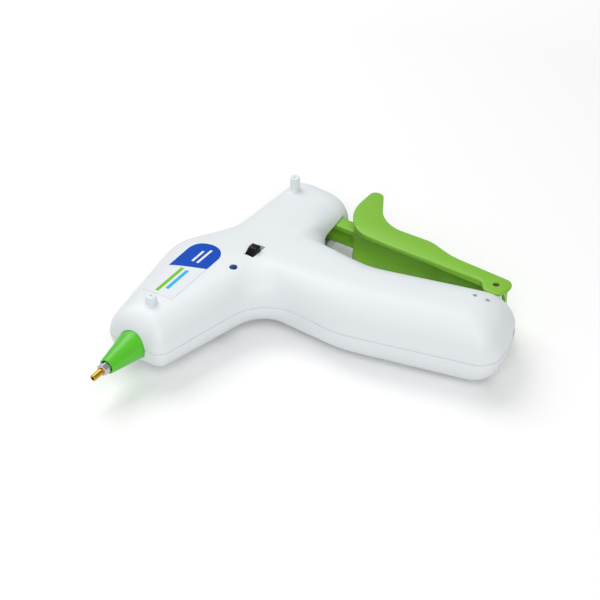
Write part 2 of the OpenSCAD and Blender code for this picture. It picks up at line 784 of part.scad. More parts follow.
// Carriage round the stick, with grooves for the rails, a slot for the jaw and a bumper at the rear
module feed_carriage() color("darkorange") stand() {
    difference() {
        union() {
            rod_x(carriage_rear, carriage_front, guide_r);
            block([carriage_rear, 0, -carriage_half], [carriage_front, carriage_low, carriage_half]);
            translate([bumper_tip + bumper_r, contact_y, -carriage_half])
                cylinder(h = 2 * carriage_half, r = bumper_r);
        }
        rod_x(carriage_rear - over, carriage_front + over, stick_bore);
        for (side = [0, 1])
            mirror([0, 0, side])
                block([carriage_rear - 4, rail_y - slide_gap, carriage_half - rail_depth],
                      [carriage_front + over, rail_y + rail_h + slide_gap, carriage_half + over]);
        block([jaw_pin.x - 9, 0, -jaw_half - slide_gap],
              [jaw_pin.x + 3, carriage_low + over, jaw_half + slide_gap]);
        translate([jaw_pin.x, jaw_pin.y, -carriage_half - over])
            cylinder(h = 2 * carriage_half + 2 * over, r = jaw_pin_r + seat_gap);
    }
}

module gripper_jaw() color("gray") stand() {
    difference() {
        translate([0, 0, -jaw_half])
            linear_extrude(2 * jaw_half)
                polygon([[jaw_pin.x + 2, jaw_pin.y + 1.6], [jaw_pin.x - 2, jaw_pin.y + 2],
                         [jaw_pin.x - 7.4, stick_bore + 3], [jaw_pin.x - 7.4, stick_bore + 0.3],
                         [jaw_pin.x - 6.4, stick_bore + 1.1], [jaw_pin.x - 5.4, stick_bore + 0.5],
                         [jaw_pin.x - 4.4, stick_bore + 1.3], [jaw_pin.x + 2, jaw_pin.y - 2]]);
        translate([jaw_pin.x, jaw_pin.y, -jaw_half - over])
            cylinder(h = 2 * jaw_half + 2 * over, r = jaw_pin_r + pin_gap);
    }
}

module gripper_pin() color("silver") stand() {
    translate([jaw_pin.x, jaw_pin.y, -carriage_half + 0.2])
        cylinder(h = 2 * carriage_half - 0.4, r = jaw_pin_r);
}

// Compression spring round the stick, between the carriage and the sleeve
module return_spring() color("silver") stand() {
    turn_steps = 8;
    wire_r = spring_wire / 2;
    coil_r = stick_bore + wire_r + 0.3;
    from = carriage_front + wire_r + 0.1;
    to = sleeve_rear - wire_r - 0.1;
    steps = spring_turns * turn_steps;
    tube([for (i = [0 : steps])
             let (turn = 360 * i / turn_steps)
             [from + (to - from) * i / steps, coil_r * cos(turn), coil_r * sin(turn)]],
         wire_r, 6, [1, 0, 0]);
}

// Bush at the rear end, held by a rib behind its collar
module stick_guide() color("white") stand() {
    difference() {
        union() {
            rod_x(-barrel_len + bush_rear, -barrel_len + bush_front, guide_r);
            rod_x(-barrel_len + guide_rib[1] + 0.2, -barrel_len + bush_front, guide_r + bush_collar);
        }
        rod_x(-barrel_len - over, -barrel_len + bush_front + over, stick_bore);
    }
}

// Wedge-shaped slide button on a stem that goes down to the switch
module switch_knob() color("black") stand() {
    top = knob_skin + knob_h;
    flat = 2.8;
    translate([knob_front, knob_y + knob_w / 2, 0])
        rotate([90, 0, 0])
            linear_extrude(knob_w)
                polygon([[-knob_len, switch_top + 0.1], [0, switch_top + 0.1], [0, knob_skin + 0.1],
                         [-knob_len + flat, top], [-knob_len, top]]);
}

module switch_body() color("dimgray") stand() {
    block([knob_front - knob_len - knob_travel - 1, knob_y - 2.6, deck_z + board_t],
          [knob_front + 1, knob_y + 2.6, switch_top]);
}

module switch_board() color("darkgreen") stand() {
    block([deck_low.x, deck_low.y, deck_z], [deck_high.x, deck_high.y, deck_z + board_t]);
}

module indicator_led() color("darkslateblue") stand() {
    translate([led_at.x, led_at.y, deck_z + board_t]) {
        cylinder(h = 1, r = led_d / 2 + 0.4);
        cylinder(h = led_skin - deck_z - board_t - 0.2, r = led_d / 2);
        translate([0, 0, led_skin - deck_z - board_t - 0.2])
            intersection() {
                translate([0, 0, -led_d / 2 + 0.5])
                    sphere(r = led_d / 2);
                cylinder(h = led_d, r = led_d);
            }
    }
}

module control_board() color("darkgreen") stand() on_handle() {
    block([board_edge, board_from, board_z], [board_edge + board_w, board_to, board_z + board_t]);
    // Two packaged chips: place on the board, then size
    for (chip = [[[1, 6], [4.6, 6, 1.6]], [[1.4, 18], [3, 3, 1.2]]])
        translate([board_edge + chip[0].x, board_from + chip[0].y, board_z + board_t])
            cube(chip[1]);
}

// Charging socket: a flat metal shell with a tongue inside
module charge_port() color("silver") stand() on_handle() {
    base = board_z + board_t;
    skin = 0.35;
    difference() {
        block([port_across - port_w / 2, port_mouth - port_len, base],
              [port_across + port_w / 2, port_mouth, base + port_h]);
        block([port_across - port_w / 2 + skin, port_mouth - port_len + 1, base + skin],
              [port_across + port_w / 2 - skin, port_mouth + over, base + port_h - skin]);
    }
    block([port_across - port_w / 2 + 1.4, port_mouth - port_len + 0.5, base + port_h - 1.3],
          [port_across + port_w / 2 - 1.4, port_mouth - 0.6, base + port_h - 0.7]);
}

// Two clear pipes from the control board up to the handle's side, stepped past the cell
module charge_lights() color("lightyellow") stand() on_handle() {
    base = board_z + board_t;
    for (along = light_along) {
        translate([light_foot, along, base])
            cylinder(h = light_leg + light_r - base, r = light_r);
        block([light_foot, along - light_r, light_leg],
              [light_across, along + light_r, light_leg + 2 * light_r]);
        translate([light_across, along, light_leg])
            cylinder(h = skin_height(handle_pt(along, light_across)) - light_leg - 0.1, r = light_r);
    }
}

module battery_cell() color("steelblue") stand() on_handle() {
    translate([cell_across, cell_end - cell_len, 0])
        rotate([-90, 0, 0])
            cylinder(h = cell_len, d = cell_d);
}

module battery_tabs() color("silver") stand() on_handle() {
    for (along = [cell_end - cell_len - tab.y - seat_gap, cell_end + seat_gap])
        translate([cell_across - tab.x / 2, along, -tab.z / 2])
            cube(tab);
}

// Sticker draped over the barrel's side, with a rounded rear end
label_from = -18;
label_to = -53.3;
label_y = -1.9;
label_half = 7.1;
label_t = 0.15;
label_lift = 0.3;
label_nx = 16;
label_ny = 8;
label_end_r = 7;
function label_reach(x) =
    let (d = max(0, label_end_r - abs(x - label_to)))
    max(1.2, label_half - label_end_r + sqrt(max(0, label_end_r * label_end_r - d * d)));
function label_at(i, j) =
    let (x = label_from + (label_to - label_from) * i / label_nx)
    [x, label_y + label_reach(x) * (2 * j / label_ny - 1)];
function label_layer(lift) =
    [for (i = [0 : label_nx])
        for (j = [0 : label_ny])
            let (p = label_at(i, j))
            concat(p, skin_height(p) + lift)];
module label() color("royalblue") stand() {
    across = label_ny + 1;
    count = (label_nx + 1) * across;
    rim = concat([for (j = [0 : label_ny]) j],
                 [for (i = [1 : label_nx]) i * across + label_ny],
                 [for (j = [1 : label_ny]) label_nx * across + label_ny - j],
                 [for (i = [1 : label_nx - 1]) (label_nx - i) * across]);
    polyhedron(
        points = concat(label_layer(label_lift), label_layer(label_lift + label_t)),
        faces = concat(
            [for (i = [0 : label_nx - 1])
                for (j = [0 : label_ny - 1])
                    let (a = i * across + j, b = a + 1, c = a + across, d = c + 1)
                    each [[a, c, d], [a, d, b],
                          [count + a, count + d, count + c], [count + a, count + b, count + d]]],
            [for (k = [0 : len(rim) - 1])
                let (a = rim[k], b = rim[(k + 1) % len(rim)])
                each [[a, b, count + b], [a, count + b, count + a]]]));
}

module housing_screws() color("dimgray") stand() {
    for (p = screw_at)
        translate([p.x, p.y, 0])
            difference() {
                union() {
                    translate([0, 0, -head_seat - head_h])
                        cylinder(h = head_h, d = screw_head_d);
                    translate([0, 0, -head_seat])
                        cylinder(h = head_seat + shank_up, d = screw_d);
                }
                for (turn = [0, 90])
                    rotate([0, 0, turn])
                        translate([-recess.x / 2, -recess.y / 2, -head_seat - head_h - over])
                            cube([recess.x, recess.y, over + 1]);
            }
}

// Wires from the heater to the switch board, and from the control board to the switch board
lead_r = 0.6;
lead_sides = 8;
lead_under = deck_z - lead_r - 0.2;
module power_leads() color("firebrick") stand() {
    mid = heater_y + heater.y / 2;
    for (z = [-1.6, 1.6])
        tube([[heater_x - 0.3, mid, z],
              [heater_x - 1.2, mid + 0.2, z],
              [heater_x - 2.2, mid + 1, z],
              [heater_x - 3.6, mid + 1.5, z],
              [heater_x - 7, mid + 1.7, z + 0.4],
              [heater_x - 11, mid + 2.4, 0.5 * z + 2.4],
              [deck_high.x - 0.5, mid + 2.8 + z, lead_under - 0.1],
              [deck_high.x - 4, mid + 2.8 + z, lead_under]],
             lead_r, lead_sides, [0, 0, 1]);
    for (side = [0, 2])
        tube([concat(handle_pt(board_from - 0.2, board_edge + 3 + side), board_z + board_t / 2),
              concat(handle_pt(board_from - 8, board_edge + 3.2 + side), board_z + board_t),
              concat(handle_pt(board_from - 18, board_edge + 4.2 + side), 1),
              concat(handle_pt(board_from - 27, board_edge + 5.2 + side), 2.6),
              [deck_low.x - 2.5 + side, deck_high.y + 5, lead_under - 0.6],
              [deck_low.x + 1 + side, deck_high.y - 1, lead_under - 0.1],
              [deck_low.x + 4 + side, deck_high.y - 5, lead_under]],
             lead_r, lead_sides, [0, 0, 1]);
}

left_shell();
right_shell();
trigger();
trigger_pin();
nozzle_cover();
nozzle_collar();
nozzle_tip();
melt_chamber();
heater_element();
thermal_fuse();
chamber_mounts();
inlet_sleeve();
feed_carriage();
gripper_jaw();
gripper_pin();
return_spring();
stick_guide();
switch_knob();
switch_body();
switch_board();
indicator_led();
control_board();
charge_port();
charge_lights();
battery_cell();
battery_tabs();
label();
housing_screws();
power_leads();
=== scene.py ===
"""Looks of a cordless hot glue applicator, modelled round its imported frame.

Sizes are millimetres in a working frame: the nozzle axis is X and points forward, X is 0 at the barrel's
front face, +Y runs towards the handle's end and Z is 0 on the seam between the two housing halves.
"""
import logging
import math
from dataclasses import dataclass, field
from enum import Enum

import bmesh
import bpy
from bmesh.types import BMEdge, BMesh, BMFace, BMVert
from mathutils import Matrix, Vector
from mathutils.bvhtree import BVHTree


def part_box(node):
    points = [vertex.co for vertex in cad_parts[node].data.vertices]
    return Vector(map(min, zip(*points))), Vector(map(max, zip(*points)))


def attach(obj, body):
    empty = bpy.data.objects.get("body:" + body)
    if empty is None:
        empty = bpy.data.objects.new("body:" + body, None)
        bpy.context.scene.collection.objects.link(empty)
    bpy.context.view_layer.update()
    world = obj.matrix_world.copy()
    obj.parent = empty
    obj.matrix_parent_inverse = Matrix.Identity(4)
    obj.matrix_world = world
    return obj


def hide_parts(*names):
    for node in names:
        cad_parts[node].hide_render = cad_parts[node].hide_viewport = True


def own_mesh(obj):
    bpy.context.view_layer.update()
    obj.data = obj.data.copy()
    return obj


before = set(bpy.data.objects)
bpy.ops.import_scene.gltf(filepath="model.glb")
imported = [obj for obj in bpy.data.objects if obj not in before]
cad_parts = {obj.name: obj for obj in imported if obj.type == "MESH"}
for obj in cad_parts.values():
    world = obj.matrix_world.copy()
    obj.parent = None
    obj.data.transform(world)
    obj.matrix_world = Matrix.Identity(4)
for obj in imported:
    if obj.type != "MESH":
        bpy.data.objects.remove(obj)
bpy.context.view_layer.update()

LOG = logging.getLogger("applicator")
MM = 0.001
# Vertices closer than this are one vertex
WELD = 0.0005 * MM
# X of the nozzle tip's front end
TIP_END = 22.3
# Z past the housing's sides, where tools that cut through them end
PAST = 17.0
# Three numbers: a corner's x, y and rounding, or a place
Corner = tuple[float, float, float]


class Body(Enum):
    """Bodies of the frame that new pieces ride on."""

    HOUSING = "housing"
    TRIGGER = "trigger"
    KNOB = "knob"


class Join(Enum):
    """Ways in which one closed mesh is combined with another."""

    ADD = "UNION"
    CUT = "DIFFERENCE"


class Side(Enum):
    """The two housing halves, by the way that they face."""

    LEFT = 1
    RIGHT = -1


def frame_origin() -> Vector:
    """Finds the working frame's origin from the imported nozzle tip.

    Returns:
        The origin in metres, on the nozzle axis at the barrel's front face.
    """
    low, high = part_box("nozzle_tip")
    middle = (low + high) / 2
    return Vector((high.x - TIP_END * MM, middle.y, middle.z))


ORIGIN = frame_origin()


def at(x: float, y: float, z: float = 0.0) -> Vector:
    """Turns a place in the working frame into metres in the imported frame."""
    return ORIGIN + Vector((x, y, z)) * MM


def to_frame() -> Matrix:
    """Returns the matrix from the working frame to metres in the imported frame."""
    return Matrix.Translation(ORIGIN) @ Matrix.Scale(MM, 4)


def linear(colour: str) -> tuple[float, float, float, float]:
    """Turns an sRGB hex colour into linear values.

    Args:
        colour: Six hex digits with a leading hash.

    Returns:
        Linear red, green, blue and an alpha of 1.
    """
    parts = [int(colour[i:i + 2], 16) / 255 for i in (1, 3, 5)]
    values = [c / 12.92 if c <= 0.04045 else ((c + 0.055) / 1.055) ** 2.4 for c in parts]
    return (*values, 1.0)


def add_node(tree: bpy.types.NodeTree, kind: str, settings: dict, links: dict) -> bpy.types.Node:
    """Adds one shader node.

    Args:
        tree: Tree that takes the node.
        kind: Blender's name of the node's type.
        settings: Socket values by socket name or number, and properties by name.
        links: Source sockets by the name or number of the socket that they feed.

    Returns:
        The new node.
    """
    node = tree.nodes.new(kind)
    for key, value in settings.items():
        if isinstance(key, str) and hasattr(node, key):
            setattr(node, key, value)
        else:
            node.inputs[key].default_value = value
    for key, source in links.items():
        tree.links.new(source, node.inputs[key])
    return node


@dataclass(frozen=True)
class Finish:
    """A surface that is mixed through with one colour, with a fine grain and a slow change of tone.

    The gloss is the share of the mirror reflection that the IOR gives, where 0.5 is all of it, and the wear
    is how far the roughness strays.
    """

    name: str
    colour: str
    roughness: float
    ior: float = 1.5
    metallic: float = 0.0
    coat: float = 0.0
    gloss: float = 0.5
    wear: float = 0.04
    grain_mm: float = 0.5
    grain_depth_mm: float = 0.01
    mottle_mm: float = 9.0
    mottle: float = 0.03

    def material(self) -> bpy.types.Material:
        """Makes the finish's material the first time that it is asked for.

        Returns:
            The material.
        """
        made = bpy.data.materials.get(self.name)
        if made is None:
            made = bpy.data.materials.new(self.name)
            made.use_nodes = True
            self.dress(made.node_tree, made.node_tree.nodes["Principled BSDF"])
        return made

    def dress(self, tree: bpy.types.NodeTree, shader: bpy.types.Node) -> None:
        """Sets the shader's constants and links its colour, roughness and relief.

        Args:
            tree: The material's node tree.
            shader: Its principled shader.
        """
        shader.inputs["IOR"].default_value = self.ior
        shader.inputs["Metallic"].default_value = self.metallic
        shader.inputs["Coat Weight"].default_value = self.coat
        shader.inputs["Specular IOR Level"].default_value = self.gloss
        place = add_node(tree, "ShaderNodeTexCoord", {}, {}).outputs["Object"]
        slow = add_node(tree, "ShaderNodeTexNoise", {"Scale": 1 / (self.mottle_mm * MM), "Detail": 3.0},
                        {"Vector": place}).outputs["Fac"]
        worn = add_node(tree, "ShaderNodeMapRange",
                        {"To Min": self.roughness - self.wear, "To Max": self.roughness + self.wear},
                        {"Value": slow})
        tree.links.new(worn.outputs["Result"], shader.inputs["Roughness"])
        tree.links.new(self.tint(tree, place, slow), shader.inputs["Base Color"])
        relief = add_node(tree, "ShaderNodeBump",
                          {"Strength": 1.0, "Distance": self.grain_depth_mm * MM},
                          {"Height": self.relief(tree, place)})
        tree.links.new(relief.outputs["Normal"], shader.inputs["Normal"])

    def tint(self, tree: bpy.types.NodeTree, place: bpy.types.NodeSocket,
             slow: bpy.types.NodeSocket) -> bpy.types.NodeSocket:
        """Mixes the colour with a slightly darker tone of itself.

        Args:
            tree: The material's node tree.
            place: Object coordinates.
            slow: Slow noise from 0 to 1.

        Returns:
            The colour's socket.
        """
        base = linear(self.colour)
        dark = tuple(c * (1 - 2 * self.mottle) for c in base[:3]) + (1.0,)
        return add_node(tree, "ShaderNodeMix", {"data_type": "RGBA", 6: base, 7: dark},
                        {0: slow}).outputs[2]

    def relief(self, tree: bpy.types.NodeTree, place: bpy.types.NodeSocket) -> bpy.types.NodeSocket:
        """Returns the height of the fine grain that its making leaves."""
        return add_node(tree, "ShaderNodeTexNoise", {"Scale": 1 / (self.grain_mm * MM), "Detail": 2.0},
                        {"Vector": place}).outputs["Fac"]


@dataclass(frozen=True)
class TurnedMetal(Finish):
    """Metal with the fine rings that a lathe leaves across the nozzle axis."""

    # Real tool marks are finer: these are drawn as coarse as they need to be to show
    ring_mm: float = 0.3
    # Length over which a wave texture of scale 1 repeats
    wave_length: float = 0.314

    def relief(self, tree: bpy.types.NodeTree, place: bpy.types.NodeSocket) -> bpy.types.NodeSocket:
        """Returns the height of the tool marks."""
        return add_node(tree, "ShaderNodeTexWave",
                        {"wave_type": "BANDS", "bands_direction": "X",
                         "Scale": self.wave_length / (self.ring_mm * MM), "Distortion": 0.6, "Detail": 2.0},
                        {"Vector": place}).outputs["Fac"]


@dataclass(frozen=True)
class CircuitBoard(Finish):
    """Solder mask over copper tracks, which show as lighter lines."""

    track_mm: float = 1.1
    track_edge: float = 0.42
    track_light: float = 2.2

    def tint(self, tree: bpy.types.NodeTree, place: bpy.types.NodeSocket,
             slow: bpy.types.NodeSocket) -> bpy.types.NodeSocket:
        """Lightens the mask's green where a track runs under it.

        Args:
            tree: The material's node tree.
            place: Object coordinates.
            slow: Slow noise from 0 to 1, which the mask doesn't show.

        Returns:
            The colour's socket.
        """
        cells = add_node(tree, "ShaderNodeTexVoronoi",
                         {"distance": "CHEBYCHEV", "feature": "F1", "Scale": 1 / (self.track_mm * MM)},
                         {"Vector": place}).outputs["Distance"]
        line = add_node(tree, "ShaderNodeMath", {"operation": "GREATER_THAN", 1: self.track_edge},
                        {0: cells}).outputs[0]
        base = linear(self.colour)
        light = tuple(min(1.0, c * self.track_light) for c in base[:3]) + (1.0,)
        return add_node(tree, "ShaderNodeMix", {"data_type": "RGBA", 6: base, 7: light}, {0: line}).outputs[2]


@dataclass(frozen=True)
class PrintedFilm(Finish):
    """White vinyl film printed with a blue field and plain stripes.

    A stripe is its middle and half length in X, and its middle and half width in Y.
    """

    field_colour: str = "#064BBA"
    sky_colour: str = "#2AB4EE"
    leaf_colour: str = "#79C41E"
    centre_y: float = -1.9
    field_edge: float = -37.0
    field_slant: float = 0.35
    sky_stripe: tuple[float, ...] = (-28.6, 6.4, 1.6, 0.75)
    leaf_stripe: tuple[float, ...] = (-27.4, 8.0, -1.0, 0.75)
    bare_stripes: tuple[tuple[float, ...], ...] = ((-45.4, 4.6, 1.7, 0.5), (-44.4, 3.6, -0.6, 0.5))

    def tint(self, tree: bpy.types.NodeTree, place: bpy.types.NodeSocket,
             slow: bpy.types.NodeSocket) -> bpy.types.NodeSocket:
        """Lays out the print in millimetres of the working frame.

        Args:
            tree: The material's node tree.
            place: Object coordinates.
            slow: Slow noise from 0 to 1.

        Returns:
            The colour's socket.
        """
        zero = at(0, self.centre_y, 0)
        local = add_node(tree, "ShaderNodeMapping",
                         {"Location": tuple(-c / MM for c in zero), "Scale": (1 / MM,) * 3},
                         {"Vector": place}).outputs["Vector"]
        axes = add_node(tree, "ShaderNodeSeparateXYZ", {}, {"Vector": local}).outputs
        colour = super().tint(tree, place, slow)
        slanted = add_node(tree, "ShaderNodeMath", {"operation": "MULTIPLY_ADD", 1: self.field_slant},
                           {0: axes["Y"], 2: axes["X"]}).outputs[0]
        in_field = add_node(tree, "ShaderNodeMath", {"operation": "LESS_THAN", 1: self.field_edge},
                            {0: slanted}).outputs[0]
        stripes = [(self.sky_stripe, self.sky_colour), (self.leaf_stripe, self.leaf_colour),
                   *((spot, self.colour) for spot in self.bare_stripes)]
        prints = [(in_field, self.field_colour),
                  *((self.stripe(tree, axes, spot), ink) for spot, ink in stripes)]
        for mask, ink in prints:
            colour = add_node(tree, "ShaderNodeMix", {"data_type": "RGBA", 7: linear(ink)},
                              {0: mask, 6: colour}).outputs[2]
        return colour

    def stripe(self, tree: bpy.types.NodeTree, axes: bpy.types.bpy_prop_collection,
               spot: tuple[float, ...]) -> bpy.types.NodeSocket:
        """Masks a straight stripe.

        Args:
            tree: The material's node tree.
            axes: Sockets of the place in millimetres.
            spot: The stripe.

        Returns:
            A socket that is 1 in the stripe and 0 elsewhere.
        """
        inside = [add_node(tree, "ShaderNodeMath", {"operation": "COMPARE", 1: middle, 2: half},
                           {0: axes[axis]}).outputs[0]
                  for axis, middle, half in (("X", *spot[:2]), ("Y", *spot[2:]))]
        return add_node(tree, "ShaderNodeMath", {"operation": "MULTIPLY"},
                        {0: inside[0], 1: inside[1]}).outputs[0]


class Finishes:
    """Every finish of the object, named for its material and how it was made."""

    # ABS moulded in a finely spark-eroded tool: a cool white with a soft, even sheen
    HOUSING = Finish("moulded_white_abs", "#E6EBEE", 0.48, 1.54, grain_mm=0.35, grain_depth_mm=0.006,
                     mottle_mm=14, mottle=0.008)
    # ABS moulded in a tool with a deeper tooth: leaf green, with a clear shine along its rounded rims
    LEVER = Finish("moulded_green_abs", "#82C034", 0.3, 1.54, grain_mm=0.45, grain_depth_mm=0.012,
                   mottle=0.02)
    # Heat-resistant nylon from a polished tool: a brighter green than the lever, with a long highlight
    COVER = Finish("moulded_green_nylon", "#55C61A", 0.34, 1.53, grain_mm=0.6, grain_depth_mm=0.006,
                   mottle=0.03)
    # Steel turned on a lathe: bright grey that breaks up along fine rings
    STEEL = TurnedMetal("turned_steel", "#C9CBCE", 0.26, metallic=1.0, grain_depth_mm=0.006, mottle=0.03)
    # Brass turned on a lathe: warm yellow with the same rings and a slight tarnish
    BRASS = TurnedMetal("turned_brass", "#D6A545", 0.24, metallic=1.0, grain_depth_mm=0.008, mottle=0.06)
    # Steel blackened in a hot bath: dark grey with a satin shine
    DARK_STEEL = Finish("blackened_steel", "#6A6664", 0.38, metallic=1.0, grain_mm=0.2,
                        grain_depth_mm=0.004)
    # Drawn steel under nickel: pale, smooth and bright
    PLATED_STEEL = Finish("nickel_plated_steel", "#BFC1C4", 0.28, metallic=1.0, grain_mm=0.3,
                          grain_depth_mm=0.003)
    # ABS moulded in a fine-toothed tool: black, with a dull shine on its edges
    KNOB = Finish("moulded_black_abs", "#0A0B0D", 0.3, 1.54, gloss=0.18, grain_mm=0.3,
                  grain_depth_mm=0.008, mottle=0.1)
    # Epoxy cast round the diode: deep blue with a small hard highlight
    LAMP = Finish("tinted_epoxy", "#0A4472", 0.1, 1.57, gloss=0.22, grain_mm=0.8, grain_depth_mm=0.001)
    # Acrylic moulded in a polished tool: smoky grey dots with a wet shine
    PIPE = Finish("smoked_acrylic", "#9AA2A6", 0.18, 1.49, coat=0.3, grain_mm=0.6, grain_depth_mm=0.002)
    # Vinyl film, printed and rolled on: flat, even inks under a faint gloss
    LABEL = PrintedFilm("printed_vinyl_film", "#E6E9EE", 0.42, 1.5, gloss=0.1, grain_mm=0.5,
                        grain_depth_mm=0.002, mottle=0.006)
    # Aluminium cast in a die: dull silver with a coarse skin
    ALUMINIUM = Finish("die_cast_aluminium", "#B9BABC", 0.45, metallic=1.0, grain_mm=0.7,
                       grain_depth_mm=0.02)
    # Alumina pressed and fired: cream, dry and finely gritty
    CERAMIC = Finish("sintered_alumina", "#EDE6D6", 0.55, 1.7, grain_mm=0.25, grain_depth_mm=0.01)
    # Enamel baked on the fuse: tan under a thin clear gloss
    FUSE = Finish("enamelled_fuse_body", "#B08A58", 0.3, 1.5, grain_mm=0.6, coat=0.3)
    # Silicone moulded hot: rust red, matt and slightly waxy
    SILICONE = Finish("moulded_silicone", "#B4502E", 0.6, 1.41, grain_mm=0.5, grain_depth_mm=0.01)
    # Nylon moulded in a plain tool: orange with a satin skin
    NYLON = Finish("moulded_orange_nylon", "#DB8A2C", 0.42, 1.53, grain_mm=0.5)
    # Nylon moulded with a glass filling: flat grey with a dry skin
    GREY = Finish("moulded_grey_nylon", "#6E7074", 0.45, 1.53, grain_mm=0.4)
    # Glass fibre pressed flat under solder mask: glossy dark green over lighter tracks
    BOARD = CircuitBoard("glass_fibre_board", "#0E4A2B", 0.35, 1.52, coat=0.2, grain_mm=0.4)
    # Film shrunk tight over the cell: smooth blue with long soft highlights
    CELL = Finish("shrink_wrapped_cell", "#2C63A0", 0.3, 1.5, grain_mm=1.5, grain_depth_mm=0.01)
    # Silicone drawn over stranded wire: matt red
    WIRE = Finish("silicone_covered_wire", "#B52A22", 0.55, 1.41, grain_mm=0.4)


def corner_arc(before: Corner, here: Corner, after: Corner, step: float) -> tuple[list[Vector], Vector]:
    """Rounds one corner of an outline.

    Args:
        before: Corner before it, as x, y and radius.
        here: The corner.
        after: Corner after it.
        step: Largest turn between two points, in degrees.

    Returns:
        The arc's points in order, and its centre.
    """
    spot = Vector(here[:2])
    u = (Vector(before[:2]) - spot).normalized()
    v = (Vector(after[:2]) - spot).normalized()
    half = math.acos(max(-1.0, min(1.0, u.dot(v)))) / 2
    centre = spot + (u + v).normalized() * here[2] / math.sin(half)
    start = spot + u * here[2] / math.tan(half) - centre
    end = spot + v * here[2] / math.tan(half) - centre
    first = math.atan2(start.y, start.x)
    sweep = math.remainder(math.atan2(end.y, end.x) - first, 2 * math.pi)
    count = max(2, math.ceil(abs(math.degrees(sweep)) / step))
    turns = [first + sweep * i / count for i in range(count + 1)]
    return [centre + here[2] * Vector((math.cos(t), math.sin(t))) for t in turns], centre


def rounded(corners: list[Corner], step: float = 5.0) -> list[Vector]:
    """Rounds every corner of a closed outline.

    Args:
        corners: Corners as x, y and radius.
        step: Largest turn between two points, in degrees.

    Returns:
        The outline's points in order.
    """
    count = len(corners)
    return [p for i in range(count)
            for p in corner_arc(corners[i - 1], corners[i], corners[(i + 1) % count], step)[0]]


def add_block(bm: BMesh, low: Corner, high: Corner, turn: Matrix | None = None) -> list[BMVert]:
    """Adds a box between two corners.

    Args:
        bm: Mesh that takes it.
        low: Lowest corner in the working frame.
        high: Highest corner.
        turn: Frame that the corners are in, if it isn't the working frame.

    Returns:
        The box's vertices.
    """
    size = Vector(high) - Vector(low)
    middle = (Vector(high) + Vector(low)) / 2
    place = Matrix.Translation(middle) @ Matrix.Diagonal((*size, 1))
    return bmesh.ops.create_cube(bm, size=1.0, matrix=to_frame() @ (turn or Matrix()) @ place)["verts"]


def add_rod(bm: BMesh, start: Corner, end: Corner, radius: float, segments: int = 64,
            turn: Matrix | None = None) -> list[BMVert]:
    """Adds a capped cylinder between two places.

    Args:
        bm: Mesh that takes it.
        start: Middle of one end in the working frame.
        end: Middle of the other end.
        radius: Its radius.
        segments: Its sides.
        turn: Frame that the places are in, if it isn't the working frame.

    Returns:
        The cylinder's vertices.
    """
    axis = Vector(end) - Vector(start)
    middle = (Vector(start) + Vector(end)) / 2
    place = Matrix.Translation(middle) @ axis.to_track_quat("Z", "Y").to_matrix().to_4x4()
    return bmesh.ops.create_cone(bm, cap_ends=True, segments=segments, radius1=radius, radius2=radius,
                                 depth=axis.length, matrix=to_frame() @ (turn or Matrix()) @ place)["verts"]


def on_axis(along: float) -> Corner:
    """Returns the profile's corner where a solid end meets the axis, just off it."""
    return (along, 0.01, 0.004)


def lathe(profile: list[Corner], start: Corner, axis: Corner, steps: int = 72, step: float = 15.0) -> BMesh:
    """Turns a closed profile about an axis.

    Args:
        profile: Corners of the profile as distance along the axis, radius and the corner's own radius.
        start: Place of distance 0 in the working frame.
        axis: Direction of the axis.
        steps: Steps of the full turn.
        step: Largest turn along a rounded corner, in degrees.

    Returns:
        The turned mesh.
    """
    bm = bmesh.new()
    points = rounded(profile, step)
    verts = [bm.verts.new((p.y, 0, p.x)) for p in points]
    edges = [bm.edges.new((verts[i - 1], verts[i])) for i in range(len(verts))]
    bmesh.ops.spin(bm, geom=verts + edges, cent=(0, 0, 0), axis=(0, 0, 1), dvec=(0, 0, 0),
                   angle=2 * math.pi, steps=steps, use_merge=True)
    place = Matrix.Translation(start) @ Vector(axis).to_track_quat("Z", "Y").to_matrix().to_4x4()
    bmesh.ops.transform(bm, matrix=to_frame() @ place, verts=bm.verts)
    return mended(bm)


def mended(bm: BMesh) -> BMesh:
    """Merges doubled vertices and turns every face outwards.

    Args:
        bm: Mesh to mend.

    Returns:
        The same mesh.
    """
    bmesh.ops.remove_doubles(bm, verts=bm.verts, dist=WELD)
    bmesh.ops.recalc_face_normals(bm, faces=bm.faces)
    return bm


def lofted(rings: list[list[Vector]]) -> BMesh:
    """Raises a closed skin through rings of places and fills its two ends.

    Args:
        rings: Rings of places in the working frame, all with the same count.

    Returns:
        The skin.
    """
    bm = bmesh.new()
    verts = [bm.verts.new(at(*p)) for p in rings[0]]
    loop = [bm.edges.new((verts[i - 1], verts[i])) for i in range(len(verts))]
    first = loop
    for ring in rings[1:]:
        made = bmesh.ops.extrude_edge_only(bm, edges=loop)["geom"]
        fresh = {v for v in made if isinstance(v, BMVert)}
        verts = [next(e.other_vert(v) for e in v.link_edges if e.other_vert(v) in fresh) for v in verts]
        for vert, spot in zip(verts, ring):
            vert.co = at(*spot)
        loop = [e for e in made if isinstance(e, BMEdge) and e.verts[0] in fresh and e.verts[1] in fresh]
    for edges in (first, loop):
        bmesh.ops.triangle_fill(bm, edges=edges, use_beauty=True, normal=(0, 0, 1))
    return mended(bm)


def inset_by(outline: list[Vector], inset: float) -> list[Vector]:
    """Moves every point of a closed outline inwards.

    Args:
        outline: The outline's points.
        inset: Distance to move them by.

    Returns:
        The moved points.
    """
    pairs = list(zip(outline[-1:] + outline[:-1], outline[1:] + outline[:1]))
    inward = math.copysign(inset, sum(a.cross(b) for a, b in zip(outline, outline[1:] + outline[:1])))
    runs = [(b - a).normalized() for a, b in pairs]
    return [p + inward * Vector((-d.y, d.x)) for p, d in zip(outline, runs)]


